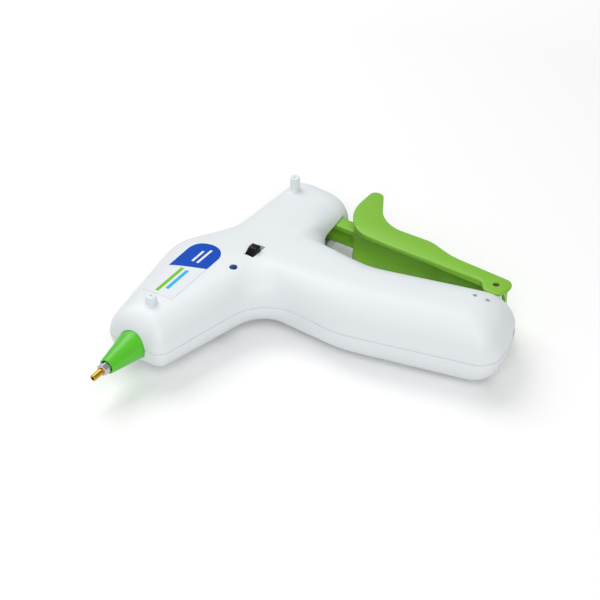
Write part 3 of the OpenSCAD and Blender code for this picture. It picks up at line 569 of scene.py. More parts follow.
def sharp_edges(bm: BMesh, least: float = 40.0) -> list[BMEdge]:
    """Returns the edges whose two faces meet at more than an angle in degrees."""
    return [e for e in bm.edges if len(e.link_faces) == 2 and e.calc_face_angle() > math.radians(least)]


def soften(bm: BMesh, edges: list[BMEdge], radius: float, segments: int = 3) -> None:
    """Rounds edges.

    Args:
        bm: The mesh.
        edges: Edges to round.
        radius: Width of the rounding on each face.
        segments: Faces across it.
    """
    bmesh.ops.bevel(bm, geom=edges, offset=radius * MM, offset_type="OFFSET", segments=segments, profile=0.5,
                    affect="EDGES", clamp_overlap=True, material=-1)


def push(bm: BMesh, face: BMFace, along: Corner) -> None:
    """Extrudes one face.

    Args:
        bm: The mesh.
        face: The face.
        along: Way and distance.
    """
    made = bmesh.ops.extrude_face_region(bm, geom=[face])["geom"]
    bmesh.ops.translate(bm, verts=[v for v in made if isinstance(v, BMVert)], vec=along)


def raised(ring: list[Vector], along: Corner) -> BMesh:
    """Raises a flat ring of places to a prism.

    Args:
        ring: The places in order.
        along: Way and distance.

    Returns:
        The closed prism.
    """
    bm = bmesh.new()
    push(bm, bm.faces.new([bm.verts.new(p) for p in ring]), along)
    return mended(bm)


def plate(outline: list[Vector], low: float, high: float, rim: float = 0.0, segments: int = 3) -> BMesh:
    """Makes a flat plate from an outline on the seam.

    Args:
        outline: The outline's points.
        low: Z of its lower face.
        high: Z of its upper face.
        rim: Radius of its rounded rim, or 0 for a sharp one.
        segments: Faces across the rim's rounding.

    Returns:
        The plate.
    """
    bm = raised([at(p.x, p.y, low) for p in outline], (0, 0, (high - low) * MM))
    if rim:
        flat = [e for e in sharp_edges(bm) if abs(e.verts[0].co.z - e.verts[1].co.z) < 0.01 * MM]
        soften(bm, flat, rim, segments)
    return bm


def scratch_object(bm: BMesh) -> bpy.types.Object:
    """Puts a mesh in a scratch object.

    Args:
        bm: The mesh, which is freed.

    Returns:
        The object.
    """
    mesh = bpy.data.meshes.new("scratch")
    bm.to_mesh(mesh)
    bm.free()
    made = bpy.data.objects.new("scratch", mesh)
    bpy.context.scene.collection.objects.link(made)
    return made


def combine(base: BMesh, tool: BMesh, how: Join) -> BMesh:
    """Combines two closed meshes.

    Args:
        base: Mesh that is kept.
        tool: Mesh that is joined to it or cut from it.
        how: Which of the two.

    Returns:
        The combined mesh; both others are freed.
    """
    kept, other = scratch_object(base), scratch_object(tool)
    boolean = kept.modifiers.new("combine", "BOOLEAN")
    boolean.operation = how.value
    boolean.solver = "EXACT"
    boolean.object = other
    made = bmesh.new()
    made.from_object(kept, bpy.context.evaluated_depsgraph_get())
    for used in (kept, other):
        mesh = used.data
        bpy.data.objects.remove(used)
        bpy.data.meshes.remove(mesh)
    return made


def finished(name: str, bm: BMesh, finish: Finish, body: Body, slot: str, *nodes: str,
             sharp: float = 32.0) -> bpy.types.Object:
    """Makes a piece of a mesh, dresses it and ties it to the frame.

    Args:
        name: The piece's name.
        bm: Its mesh, which is freed.
        finish: Its finish.
        body: Body that it rides on.
        slot: The record's material slot, which is not used.
        nodes: CAD nodes that it stands for.
        sharp: Angle in degrees from which an edge is shaded sharp.

    Returns:
        The piece.
    """
    mesh = bpy.data.meshes.new(name)
    bm.to_mesh(mesh)
    bm.free()
    mesh.shade_smooth()
    mesh.set_sharp_from_angle(angle=math.radians(sharp))
    mesh.materials.clear()
    mesh.materials.append(finish.material())
    piece = bpy.data.objects.new(name, mesh)
    bpy.context.scene.collection.objects.link(piece)
    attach(piece, body.value)
    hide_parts(*nodes)
    LOG.info("%s: %d faces on %s", name, len(mesh.polygons), body.value)
    return piece


@dataclass(frozen=True)
class SkinPoint:
    """One point of the housing's outline on the seam."""

    edge: Vector
    normal: Vector
    crown: Vector
    half_t: float
    square: float


@dataclass
class HousingSkin:
    """The housing's surface: an outline on the seam whose every point rises to its own point on the crown."""

    barrel_len: float = 118.6
    nose_rise: float = 12.2
    nose_drop: float = 13.1
    nose_half_t: float = 11.6
    hump_back: float = 53.0
    hump_rise: float = 22.3
    hump_half_t: float = 12.3
    rear_rise: float = 8.2
    rear_drop: float = 24.6
    rear_half_t: float = 9.4
    handle_back: float = 52.9
    handle_len: float = 115.0
    handle_w: float = 35.6
    handle_half_t: float = 15.0
    handle_rake: float = 12.7
    wall: float = 2.0
    squareness: float = 2.1
    back_squareness: float = 1.6
    peg_front: float = 12.6
    peg_rear: float = 12.4
    crown_gap: float = 1.6
    crown_scale: float = 0.1
    back_flare: float = 5.6
    dip_back: float = 21.0
    grip_back: float = 57.5
    grip_front: float = 55.0
    grip_swell: float = 0.5
    end_bow: float = 2.6
    end_dome: float = 16.0
    # The halves' edges fall away into a fine line along the seam
    groove: float = 0.3
    ledge: float = 0.22
    groove_rise: float = 0.28
    seam_gap: float = 0.02
    arc_step: float = 3.0
    run_step: float = 2.4
    levels_out: int = 30
    levels_in: int = 10
    relax_rounds: int = 20

    def handle_point(self, along: float, across: float) -> tuple[float, float]:
        """Finds a place on the handle.

        Args:
            along: Distance along the handle's centre line.
            across: Distance across it, front positive.

        Returns:
            Its x and y.
        """
        rake = math.radians(self.handle_rake)
        return (-self.handle_back - along * math.sin(rake) + across * math.cos(rake),
                along * math.cos(rake) + across * math.sin(rake))

    def corners(self) -> list[tuple[Corner, Vector, float, float]]:
        """Lists the outline's corners from the nose over the hump and round the handle.

        Returns:
            For each corner its x, y and radius, its point on the crown, and the half thickness and the
            squareness of the section there.
        """
        lean = math.radians(self.handle_rake)
        crotch = -self.handle_back - self.rear_drop * math.tan(lean) - self.handle_w / 2 / math.cos(lean)
        crotch -= self.back_flare
        nose, rear = -self.peg_front + 1.2, -self.barrel_len + self.peg_rear
        dip = -self.hump_back - self.dip_back
        root_t = (self.hump_half_t + self.handle_half_t) / 2
        grip_t = self.handle_half_t - 0.3
        half_w, end, gap = self.handle_w / 2, self.handle_len - self.end_dome, self.crown_gap
        swell, on_handle = self.grip_swell, self.handle_point
        even, back = self.squareness, self.back_squareness
        mid = (even + back) / 2
        rows = [
            ((0, -self.nose_rise), 5.5, (nose, -gap), self.nose_half_t, even),
            ((-self.hump_back, -self.hump_rise), 18, (-self.hump_back + 3, -2 * gap), self.hump_half_t,
             even),
            ((dip, -self.rear_rise), 26, (dip + 2, 4), (self.hump_half_t + self.rear_half_t) / 2, even),
            ((-self.barrel_len, -self.rear_rise), 8, (rear, 6), self.rear_half_t, even),
            ((-self.barrel_len, self.rear_drop), 15, (rear + 2, 10), self.rear_half_t, even),
            ((crotch, self.rear_drop), 14, (crotch + 7, self.rear_drop - 5), root_t - 1, mid),
            (on_handle(self.grip_back, -half_w - swell), 40, on_handle(self.grip_back, -gap), grip_t, back),
            (on_handle(self.handle_len, -half_w + 0.5), 10, on_handle(end, -gap), self.handle_half_t, mid),
            (on_handle(self.handle_len + self.end_bow, 0.5), 45, on_handle(end + 1, 0),
             self.handle_half_t, even),
            (on_handle(self.handle_len, half_w - 0.7), 9, on_handle(end, gap), self.handle_half_t, even),
            (on_handle(self.grip_front, half_w + swell), 40, on_handle(self.grip_front, gap), grip_t, even),
            ((-self.handle_back + 3.3, self.rear_drop - 0.6), 18, (-self.handle_back - 7, 12),
             root_t - 0.6, even),
            ((0, self.nose_drop), 5.5, (nose, gap), self.nose_half_t, even)]
        return [((*spot, r), Vector(crown), half_t, square) for spot, r, crown, half_t, square in rows]

    def points(self) -> list[SkinPoint]:
        """Works out the outline's points, arc by arc and run by run.

        Returns:
            The points in order round the outline.
        """
        corners = self.corners()
        count = len(corners)
        arcs = []
        for i, (here, crown, half_t, square) in enumerate(corners):
            before, after = corners[i - 1][0], corners[(i + 1) % count][0]
            spots, centre = corner_arc(before, here, after, self.arc_step)
            inward, onward = Vector(here[:2]) - Vector(before[:2]), Vector(after[:2]) - Vector(here[:2])
            bulge = 1 if inward.cross(onward) < 0 else -1
            arcs.append([SkinPoint(p, bulge * (p - centre) / here[2], crown, half_t, square) for p in spots])
        made = []
        for i, arc in enumerate(arcs):
            a, b = arc[-1], arcs[(i + 1) % count][0]
            run = b.edge - a.edge
            steps = max(1, math.ceil(run.length / self.run_step))
            normal = Vector((-run.y, run.x)).normalized()
            made += arc
            for k in range(1, steps):
                s = k / steps
                w = s * s * (3 - 2 * s)
                made.append(SkinPoint(a.edge + s * run, normal, a.crown.lerp(b.crown, w),
                                      a.half_t + w * (b.half_t - a.half_t),
                                      a.square + w * (b.square - a.square)))
        return made

    def place(self, point: SkinPoint, turn: float, inset: float) -> Vector:
        """Finds a place on the surface.

        Args:
            point: Outline point that it rises from.
            turn: Angle from 0 at the seam to a right angle at the crown.
            inset: Distance below the outer surface.

        Returns:
            The place in millimetres, above the seam.
        """
        power = 2 / point.square
        spread = self.crown_scale + (1 - self.crown_scale) * max(0.0, math.cos(turn)) ** power
        edge = point.edge - inset * point.normal
        spot = point.crown + spread * (edge - point.crown)
        return Vector((spot.x, spot.y, math.sin(turn) ** power * (point.half_t - inset)))

    def rings(self, side: Side) -> list[tuple[float, float]]:
        """Lists the loft's rings from the inner crown down to the seam and up to the outer crown.

        Args:
            side: Which half; the left one stands back at the seam, so that the right one shows a fine ledge.

        Returns:
            For each ring its angle and its inset.
        """
        right = math.pi / 2
        first = math.asin(self.groove_rise / self.nose_half_t)
        lowest = math.asin(self.seam_gap / self.nose_half_t)
        inner = [(lowest + (right - lowest) * k / self.levels_in, self.wall)
                 for k in range(self.levels_in, -1, -1)]
        groove, ledge = (self.groove, self.ledge) if side is Side.LEFT else (self.groove / 3, 0.0)
        outer = [(first + (right - first) * k / self.levels_out, 0.0) for k in range(1, self.levels_out + 1)]
        return [*inner, (lowest, groove), (first, ledge), *outer]

    def half(self, side: Side) -> BMesh:
        """Lofts one hollow half.

        Args:
            side: Which half.

        Returns:
            The closed shell, without its cuts.
        """
        points = self.points()
        flip = Vector((1, 1, side.value))
        bm = lofted([[self.place(p, *ring) * flip for p in points] for ring in self.rings(side)])
        self.relax(bm)
        return bm

    def relax(self, bm: BMesh) -> None:
        """Evens out the folds where neighbouring runs of the outer skin meet.

        Args:
            bm: One half's shell.
        """
        low = self.groove_rise * 4
        skin = [v for v in bm.verts if abs(v.co.z - ORIGIN.z) > low * MM]
        for _ in range(self.relax_rounds):
            bmesh.ops.smooth_vert(bm, verts=skin, factor=0.5, use_axis_x=True, use_axis_y=True,
                                  use_axis_z=True)


@dataclass
class Housing:
    """The two moulded halves with their pegs, pivot ear, screw bosses and openings."""

    skin: HousingSkin = field(default_factory=HousingSkin)
    pivot_along: float = 9.9
    pivot_out: float = 1.4
    peg_d: float = 4.0
    dimple_d: float = 1.2
    nozzle_hole_r: float = 5.9
    nozzle_hole_len: float = 9.0
    bush_hole_r: float = 5.1
    bush_hole_len: float = 6.3
    slot_x: tuple[float, float] = (-107.0, -84.9)
    slot_y: tuple[float, float] = (12.0, 33.6)
    slot_half: float = 4.6
    ear_half: float = 7.8
    ear_r: float = 2.6
    ear_root: float = 3.2
    lug_pocket: tuple[float, float] = (5.7, 2.6)
    lamp_at: tuple[float, float] = (-46.2, 12.7)
    lamp_hole_r: float = 1.55
    lamp_hole_floor: float = 5.0
    knob_slot_x: tuple[float, float] = (-63.2, -54.9)
    knob_slot_y: tuple[float, float] = (11.45, 15.55)
    knob_slot_floor: float = 9.2
    light_across: float = -3.9
    light_back: tuple[float, float] = (13.9, 9.1)
    light_hole_r: float = 0.85
    light_hole_floor: float = 7.2
    port_across: float = -7.8
    port_half_w: float = 4.1
    port_z: tuple[float, float] = (-1.4, 1.9)
    port_depth: float = 8.6
    port_sunk: float = 1.2
    boss_r: float = 2.7
    boss_gap: float = 0.2
    head_r: float = 2.6
    head_wall: float = 1.1
    head_seat: float = 5.4
    tree: BVHTree = field(init=False)

    def __post_init__(self) -> None:
        """Lofts the left half once, to measure heights on it."""
        bm = self.skin.half(Side.LEFT)
        self.tree = BVHTree.FromBMesh(bm)
        bm.free()

    def pivot(self) -> tuple[float, float]:
        """Returns the lever's pivot on the seam."""
        s = self.skin
        return s.handle_point(s.handle_len - self.pivot_along, -s.handle_w / 2 - self.pivot_out)

    def height(self, x: float, y: float) -> float:
        """Returns the height of the left side's surface over a place on the seam, in millimetres."""
        hit = self.tree.ray_cast(at(x, y, 40), Vector((0, 0, -1)))[0]
        return (hit.z - ORIGIN.z) / MM if hit else 0.0

    def lowest(self, x: float, y: float, reach: float) -> float:
        """Returns the lowest height of the surface on a circle round a place, in millimetres."""
        turns = [math.radians(t) for t in range(0, 360, 20)]
        return min(self.height(x + reach * math.cos(t), y + reach * math.sin(t)) for t in turns)

    def port_mouth(self) -> float:
        """Returns how far along the handle the charging socket's mouth lies."""
        return self.skin.handle_len - self.port_sunk

    def screw_places(self) -> list[tuple[float, float]]:
        """Returns the five screws' places on the seam."""
        s = self.skin
        return [(-36.5, 15.4), (-s.hump_back + 3, -14.5), (-60, 29.5), (-s.barrel_len + 7.4, 11.6),
                s.handle_point(s.handle_len - 4.2, 8.5)]

    def handle_frame(self) -> Matrix:
        """Returns the handle's frame: X across, front positive, Y along the centre line."""
        rake = Matrix.Rotation(math.radians(self.skin.handle_rake), 4, "Z")
        return Matrix.Translation((-self.skin.handle_back, 0, 0)) @ rake

    def peg(self, x: float, side: Side) -> BMesh:
        """Turns one standing peg, flared where it meets the housing and dimpled at its end.

        Args:
            x: Its place along the nozzle axis.
            side: Half that it stands on.

        Returns:
            The peg.
        """
        root, top = self.height(x, 0), self.skin.handle_half_t
        r, hole = self.peg_d / 2, self.dimple_d / 2
        profile = [on_axis(root - 1.2), (root - 1.2, r + 0.9, 0.1), (root - 0.2, r + 0.9, 0.3),
                   (root + 0.5, r, 0.9), (top, r - 0.05, 0.35), (top, hole, 0.15),
                   (top - 1, hole - 0.15, 0.2), on_axis(top - 1)]
        return lathe(profile, (x, 0, 0), (0, 0, side.value), 40)

    def growths(self, side: Side) -> list[BMesh]:
        """Makes what grows from a half: its pegs, its share of the pivot ear and the screw bosses.

        Args:
            side: Which half.

        Returns:
            Closed meshes to join to it.
        """
        s, (px, py), r = self.skin, self.pivot(), self.ear_r
        made = [self.peg(x, side) for x in (-s.peg_front, -s.barrel_len + s.peg_rear)]
        near, far = s.seam_gap * side.value, self.ear_half * side.value
        ear, root = bmesh.new(), bmesh.new()
        add_rod(ear, (px, py, near), (px, py, far), r, 48)
        add_block(root, (px, py - r, min(near, far)), (px + self.ear_root, py + r, max(near, far)))
        made.append(combine(ear, root, Join.ADD))
        for x, y in self.screw_places():
            boss = bmesh.new()
            r = self.boss_r if side is Side.LEFT else self.head_r + self.head_wall
            top = self.lowest(x, y, r) - s.wall / 2
            add_rod(boss, (x, y, self.boss_gap * side.value), (x, y, top * side.value), r, 40)
            made.append(boss)
        return made

    def openings(self, side: Side) -> BMesh:
        """Makes the tools that cut a half's openings; each reaches past the surface that it opens.

        Args:
            side: Which half.

        Returns:
            One mesh of separate closed tools.
        """
        s, up = self.skin, side.value
        px, py = self.pivot()
        bm = bmesh.new()
        add_rod(bm, (-self.nozzle_hole_len, 0, 0), (1, 0, 0), self.nozzle_hole_r, 96)
        back = -s.barrel_len
        add_rod(bm, (back - 1, 0, 0), (back + self.bush_hole_len, 0, 0), self.bush_hole_r, 72)
        (near_x, far_x), (near_y, far_y) = self.slot_x, self.slot_y
        add_block(bm, (near_x, near_y, -self.slot_half), (far_x, far_y, self.slot_half))
        pocket_r, pocket_t = self.lug_pocket
        add_rod(bm, (px, py, self.ear_half * up), (px, py, (self.ear_half + pocket_t) * up), pocket_r)
        turn, mouth = self.handle_frame(), self.port_mouth()
        add_block(bm, (self.port_across - self.port_half_w, mouth - self.port_depth, self.port_z[0]),
                  (self.port_across + self.port_half_w, mouth + 6, self.port_z[1]), turn)
        if side is Side.LEFT:
            add_rod(bm, (*self.lamp_at, self.lamp_hole_floor), (*self.lamp_at, PAST), self.lamp_hole_r, 40)
            (near_x, far_x), (near_y, far_y) = self.knob_slot_x, self.knob_slot_y
            add_block(bm, (near_x, near_y, self.knob_slot_floor), (far_x, far_y, PAST))
            for short in self.light_back:
                spot = (self.light_across, s.handle_len - short)
                add_rod(bm, (*spot, self.light_hole_floor), (*spot, PAST), self.light_hole_r, 32, turn)
        else:
            for x, y in self.screw_places():
                add_rod(bm, (x, y, -self.head_seat), (x, y, -PAST), self.head_r, 40)
        return bm

    def build(self) -> None:
        """Builds, cuts and dresses both halves."""
        for side, node in ((Side.LEFT, "left_shell"), (Side.RIGHT, "right_shell")):
            bm = self.skin.half(side)
            for growth in self.growths(side):
                bm = combine(bm, growth, Join.ADD)
            bm = combine(bm, self.openings(side), Join.CUT)
            finished(f"housing_{side.name.lower()}", bm, Finishes.HOUSING, Body.HOUSING, "white_housing",
                     node, sharp=28)


@dataclass
class SqueezeLever:
    """The lever behind the handle: two flanges, a troughed web, the push tongue and the pivot pin."""

    pivot: tuple[float, float]
    tongue_x: float = -100.3
    rear_drop: float = 24.6
    half_w: float = 10.0
    wall: float = 1.8
    lug_r: float = 5.2
    pin_r: float = 1.2
    pin_play: float = 0.04
    pin_short: float = 0.4
    pin_recess: float = 0.5
    lip: float = 0.6
    palm: float = 1.8
    horn: float = 21.8
    tongue_len: float = 5.9
    tongue_half: float = 4.2
    tongue_top: float = 6.5
    rim: float = 0.7
    trough_r: float = 7.6
    ear_room: float = 3.0
    # The hollows stop short of the flanges, so that no two faces share a plane
    short: float = 0.03

    def outline(self, back: float, end: list[Corner]) -> list[Vector]:
        """Rounds the lever's outline.

        Args:
            back: Distance that the palm side stands back; the handle side stands back by a quarter of it.
            end: Corners at the pivot.

        Returns:
            The outline from the horn's tip down the palm side and back up the handle side.
        """
        (px, py), t, d = self.pivot, self.tongue_x, self.rear_drop
        front = back / 4
        return rounded([
            (t - self.horn + back, d + 2.7 + front, 2.8 - front), (t - self.horn + back, d + 7.7 - back, 2.6),
            (t - 4.2 + back, d + 17.9 - back, 16), (px - 10.4 + back, py - 33.5, 14),
            (px - 6.6 + back, py - 22.8, 30), *end, (px + 0.9 - front, py - 45, 40),
            (t + 6 - front, d + 11.8 + front, 14), (t - 5.5, d + 2.7 + front, 20)])

    def hollow_half(self) -> float:
        """Returns half the width of the hollows between the flanges."""
        return self.half_w - self.wall - self.short

    def trough(self) -> BMesh:
        """Makes the tool that hollows the handle side, round where the web meets the flanges.

        Returns:
            The tool.
        """
        (px, py), t, d = self.pivot, self.tongue_x, self.rear_drop
        inside, reach = self.lip + self.palm, 20
        outline = rounded([
            (px + reach, py + reach, 9), (px - self.ear_room, py + reach, 9),
            (px - self.ear_room, py - 2, 30), (px - 6.6 + inside, py - 22.8, 30),
            (px - 10.4 + inside, py - 33.5, 12),
            (t + 0.6, d + 14, 30), (t + 0.6, d - 12, 9), (px + reach, d - 12, 9)], 8)
        half, r = self.hollow_half(), self.trough_r
        turns = [k * math.pi / 18 for k in range(10)]
        upper = [(r * (1 - math.cos(turn)), half - r + r * math.sin(turn)) for turn in turns]
        levels = [(inset, -z) for inset, z in reversed(upper)] + upper
        return lofted([[Vector((*p, z)) for p in inset_by(outline, inset)] for inset, z in levels])

    def horn_hollow(self) -> BMesh:
        """Makes the tool that hollows the horn.

        Returns:
            The tool.
        """
        t, d = self.tongue_x, self.rear_drop
        outline = rounded([
            (t - 32, d - 15, 3), (t - 32, d - 5, 3), (t - 9, d + 12.4, 2), (t - 4.3, d + 14.6, 2),
            (t - 0.3, d + 8.5, 2), (t - 0.3, d - 15, 3)])
        half = self.hollow_half()
        return plate(outline, -half, half, 1.2)

    def ear_hollow(self) -> BMesh:
        """Makes the tool that frees the housing's ear between the flanges.

        Returns:
            The tool, a little wider than the trough there, so that their walls don't touch along a line.
        """
        half = self.hollow_half()
        bm = bmesh.new()
        add_rod(bm, (*self.pivot, -half), (*self.pivot, half), self.ear_room + 0.1)
        return bm

    def tongue(self) -> BMesh:
        """Makes the push tongue, with a groove along each face.

        Returns:
            The tongue.
        """
        bm = bmesh.new()
        back, front, half = self.tongue_x - self.tongue_len, self.tongue_x, self.tongue_half
        add_block(bm, (back, self.tongue_top, -half), (front, self.rear_drop + 15, half))
        soften(bm, list(bm.edges), 0.5)
        grooves = bmesh.new()
        for x in (back, front):
            add_block(grooves, (x - 2, 15, -half / 2), (x + 2, self.rear_drop + 8, half / 2))
        soften(grooves, list(grooves.edges), 0.4)
        return combine(bm, grooves, Join.CUT)

    def build(self) -> None:
        """Builds the lever and its pin."""
        (px, py), r = self.pivot, self.lug_r
        inner = self.half_w - self.wall
        web = self.outline(self.lip, [(px - r + self.lip, py + 3, 0.5), (px + 0.7, py + 3, 0.5)])
        side = self.outline(0, [(px - r, py + r, 3.4), (px + r, py + r, 5), (px + r, py - 2.7, 5),
                                (px + 0.8, py - 5.8, 2)])
        bm = plate(web, -inner - self.wall / 2, inner + self.wall / 2)
        for tool in (self.trough(), self.horn_hollow(), self.ear_hollow()):
            bm = combine(bm, tool, Join.CUT)
        bm = combine(bm, self.tongue(), Join.ADD)
        for low in (-self.half_w, inner):
            bm = combine(bm, plate(side, low, low + self.wall, self.rim), Join.ADD)
        bore = bmesh.new()
        add_rod(bore, (px, py, -self.half_w - 1), (px, py, self.half_w + 1), self.pin_r + self.pin_play, 48)
        bm = combine(bm, bore, Join.CUT)
        finished("squeeze_lever", bm, Finishes.LEVER, Body.TRIGGER, "green_lever", "trigger")
        self.build_pin()

    def build_pin(self) -> None:
        """Builds the pivot pin, with a turned recess in each end."""
        end, r = self.half_w - self.pin_short, self.pin_r
        sunk = end - self.pin_recess
        profile = [on_axis(-sunk), (-sunk, 0.45, 0.1), (-end, 0.7, 0.1), (-end, r, 0.25),
                   (end, r, 0.25), (end, 0.7, 0.1), (sunk, 0.45, 0.1), on_axis(sunk)]
        finished("pivot_pin", lathe(profile, (*self.pivot, 0), (0, 0, 1), 48), Finishes.DARK_STEEL,
                 Body.HOUSING, "dark_steel", "trigger_pin")


@dataclass
class Nozzle:
    """The tapered cover, the hexagonal collar and the brass tip."""

    cover_r: float = 5.7
    cover_tip_r: float = 3.0
    cover_len: float = 14.6
    cover_root: float = -6.4
    flange: float = 1.1
    flange_t: float = 1.6
    neck_r: float = 3.5
    neck_front: float = 4.0
    collar_flats: float = 4.0
    collar_gap: float = 0.2
    collar_room: float = 0.6
    collar_front: float = 17.4
    stem_r: float = 1.5
    tip_r: float = 1.2
    bore_r: float = 0.65

    def build(self) -> None:
        """Builds the three pieces."""
        collar_r = self.collar_flats / math.sqrt(3)
        wide, hole = self.cover_r + self.flange, collar_r + self.collar_gap
        neck = self.neck_front + self.collar_room
        cover = [(self.cover_root, self.neck_r, 0.2), (self.cover_root, wide, 0.3),
                 (self.cover_root + self.flange_t, wide, 0.3),
                 (self.cover_root + self.flange_t, self.cover_r, 0.2),
                 (0.4, self.cover_r, 1.2), (self.cover_len, self.cover_tip_r, 0.28),
                 (self.cover_len, hole, 0.15), (neck, hole, 0.2), (neck, self.neck_r, 0.2)]
        finished("nozzle_cone", lathe(cover, (0, 0, 0), (1, 0, 0), 96), Finishes.COVER, Body.HOUSING,
                 "green_cover", "nozzle_cover")
        self.build_collar(collar_r)
        tip = [(self.neck_front + 0.2, self.bore_r, 0.1), (self.neck_front + 0.2, self.stem_r, 0.2),
               (self.collar_front, self.stem_r, 0.05), (self.collar_front, self.tip_r, 0.05),
               (TIP_END, self.tip_r, 0.22), (TIP_END, self.bore_r, 0.14)]
        finished("brass_tip", lathe(tip, (0, 0, 0), (1, 0, 0), 64), Finishes.BRASS, Body.HOUSING, "brass",
                 "nozzle_tip")

    def build_collar(self, radius: float) -> None:
        """Builds the hexagonal collar.

        Args:
            radius: Its radius over the corners.
        """
        bm = bmesh.new()
        add_rod(bm, (self.neck_front, 0, 0), (self.collar_front, 0, 0), radius, 6)
        soften(bm, sharp_edges(bm), 0.18)
        bore = bmesh.new()
        add_rod(bore, (self.neck_front - 1, 0, 0), (self.collar_front + 1, 0, 0), self.stem_r + 0.05, 48)
        finished("hex_collar", combine(bm, bore, Join.CUT), Finishes.STEEL, Body.HOUSING, "steel",
                 "nozzle_collar")


@dataclass
class SideControls:
    """What shows on the left side: the slide knob, the lamp and the label."""

    housing: Housing
    knob_front: float = -55.2
    knob_y: float = 13.5
    knob_w: float = 3.8
    knob_len: float = 5.2
    knob_h: float = 2.1
    knob_flat: float = 2.8
    knob_foot: float = 10.3
    lamp_r: float = 1.5
    lamp_foot: float = 6.7
    label_x: tuple[float, float] = (-18.0, -53.3)
    label_y: float = -1.9
    label_half: float = 7.1
    label_end_r: float = 7.0
    label_lift: float = 0.06
    label_t: float = 0.1
    label_grid: tuple[int, int] = (96, 40)

    def build(self) -> None:
        """Builds the knob, the lamp and the label."""
        self.build_knob()
        self.build_lamp()
        self.build_label()

    def build_knob(self) -> None:
        """Builds the wedge-shaped slide knob."""
        skin = self.housing.height(self.knob_front - self.knob_len / 2, self.knob_y)
        back, front = self.knob_front - self.knob_len, self.knob_front
        profile = [(back, self.knob_foot), (front, self.knob_foot), (front, skin + 0.1),
                   (back + self.knob_flat, skin + self.knob_h), (back, skin + self.knob_h)]
        bm = raised([at(x, self.knob_y - self.knob_w / 2, z) for x, z in profile], (0, self.knob_w * MM, 0))
        soften(bm, sharp_edges(bm, 20), 0.4)
        finished("slide_knob", bm, Finishes.KNOB, Body.KNOB, "black_plastic", "switch_knob")

    def build_lamp(self) -> None:
        """Builds the indicator lamp: a round lens on a flange."""
        x, y = self.housing.lamp_at
        skin, foot, r = self.housing.height(x, y), self.lamp_foot, self.lamp_r
        profile = [on_axis(foot), (foot, r + 0.4, 0.1), (foot + 1, r + 0.4, 0.1), (foot + 1, r, 0.1),
                   (skin - 0.15, r, 0.3), (skin + 0.3, r * 0.55, 0.5), on_axis(skin + 0.3)]
        finished("lamp_lens", lathe(profile, (x, y, 0), (0, 0, 1), 48), Finishes.LAMP, Body.HOUSING,
                 "lamp_blue", "indicator_led")

    def build_label(self) -> None:
        """Builds the sticker: a grid drawn to its outline and laid on the housing."""
        bm = bmesh.new()
        columns, rows = self.label_grid
        grid = bmesh.ops.create_grid(bm, x_segments=columns, y_segments=rows, size=0.5)["verts"]
        near, far = self.label_x
        for vert in grid:
            x = near + (far - near) * (vert.co.x + 0.5)
            y = self.label_y + 2 * vert.co.y * self.reach(x)
            vert.co = at(x, y, self.housing.height(x, y) + self.label_lift + self.label_t)
        bmesh.ops.recalc_face_normals(bm, faces=bm.faces)
        if sum(f.normal.z for f in bm.faces) < 0:
            bmesh.ops.reverse_faces(bm, faces=bm.faces)
        bmesh.ops.solidify(bm, geom=bm.faces, thickness=self.label_t * MM)
        finished("side_label", bm, Finishes.LABEL, Body.HOUSING, "label_film", "label")

    def reach(self, x: float) -> float:
        """Finds half the label's width, which is round at the rear end.

        Args:
            x: Place along the label.

        Returns:
            Half its width there.
        """
        r = self.label_end_r
        short = max(0.0, r - abs(x - self.label_x[1]))
        return max(0.4, self.label_half - r + math.sqrt(max(0.0, r * r - short * short)))


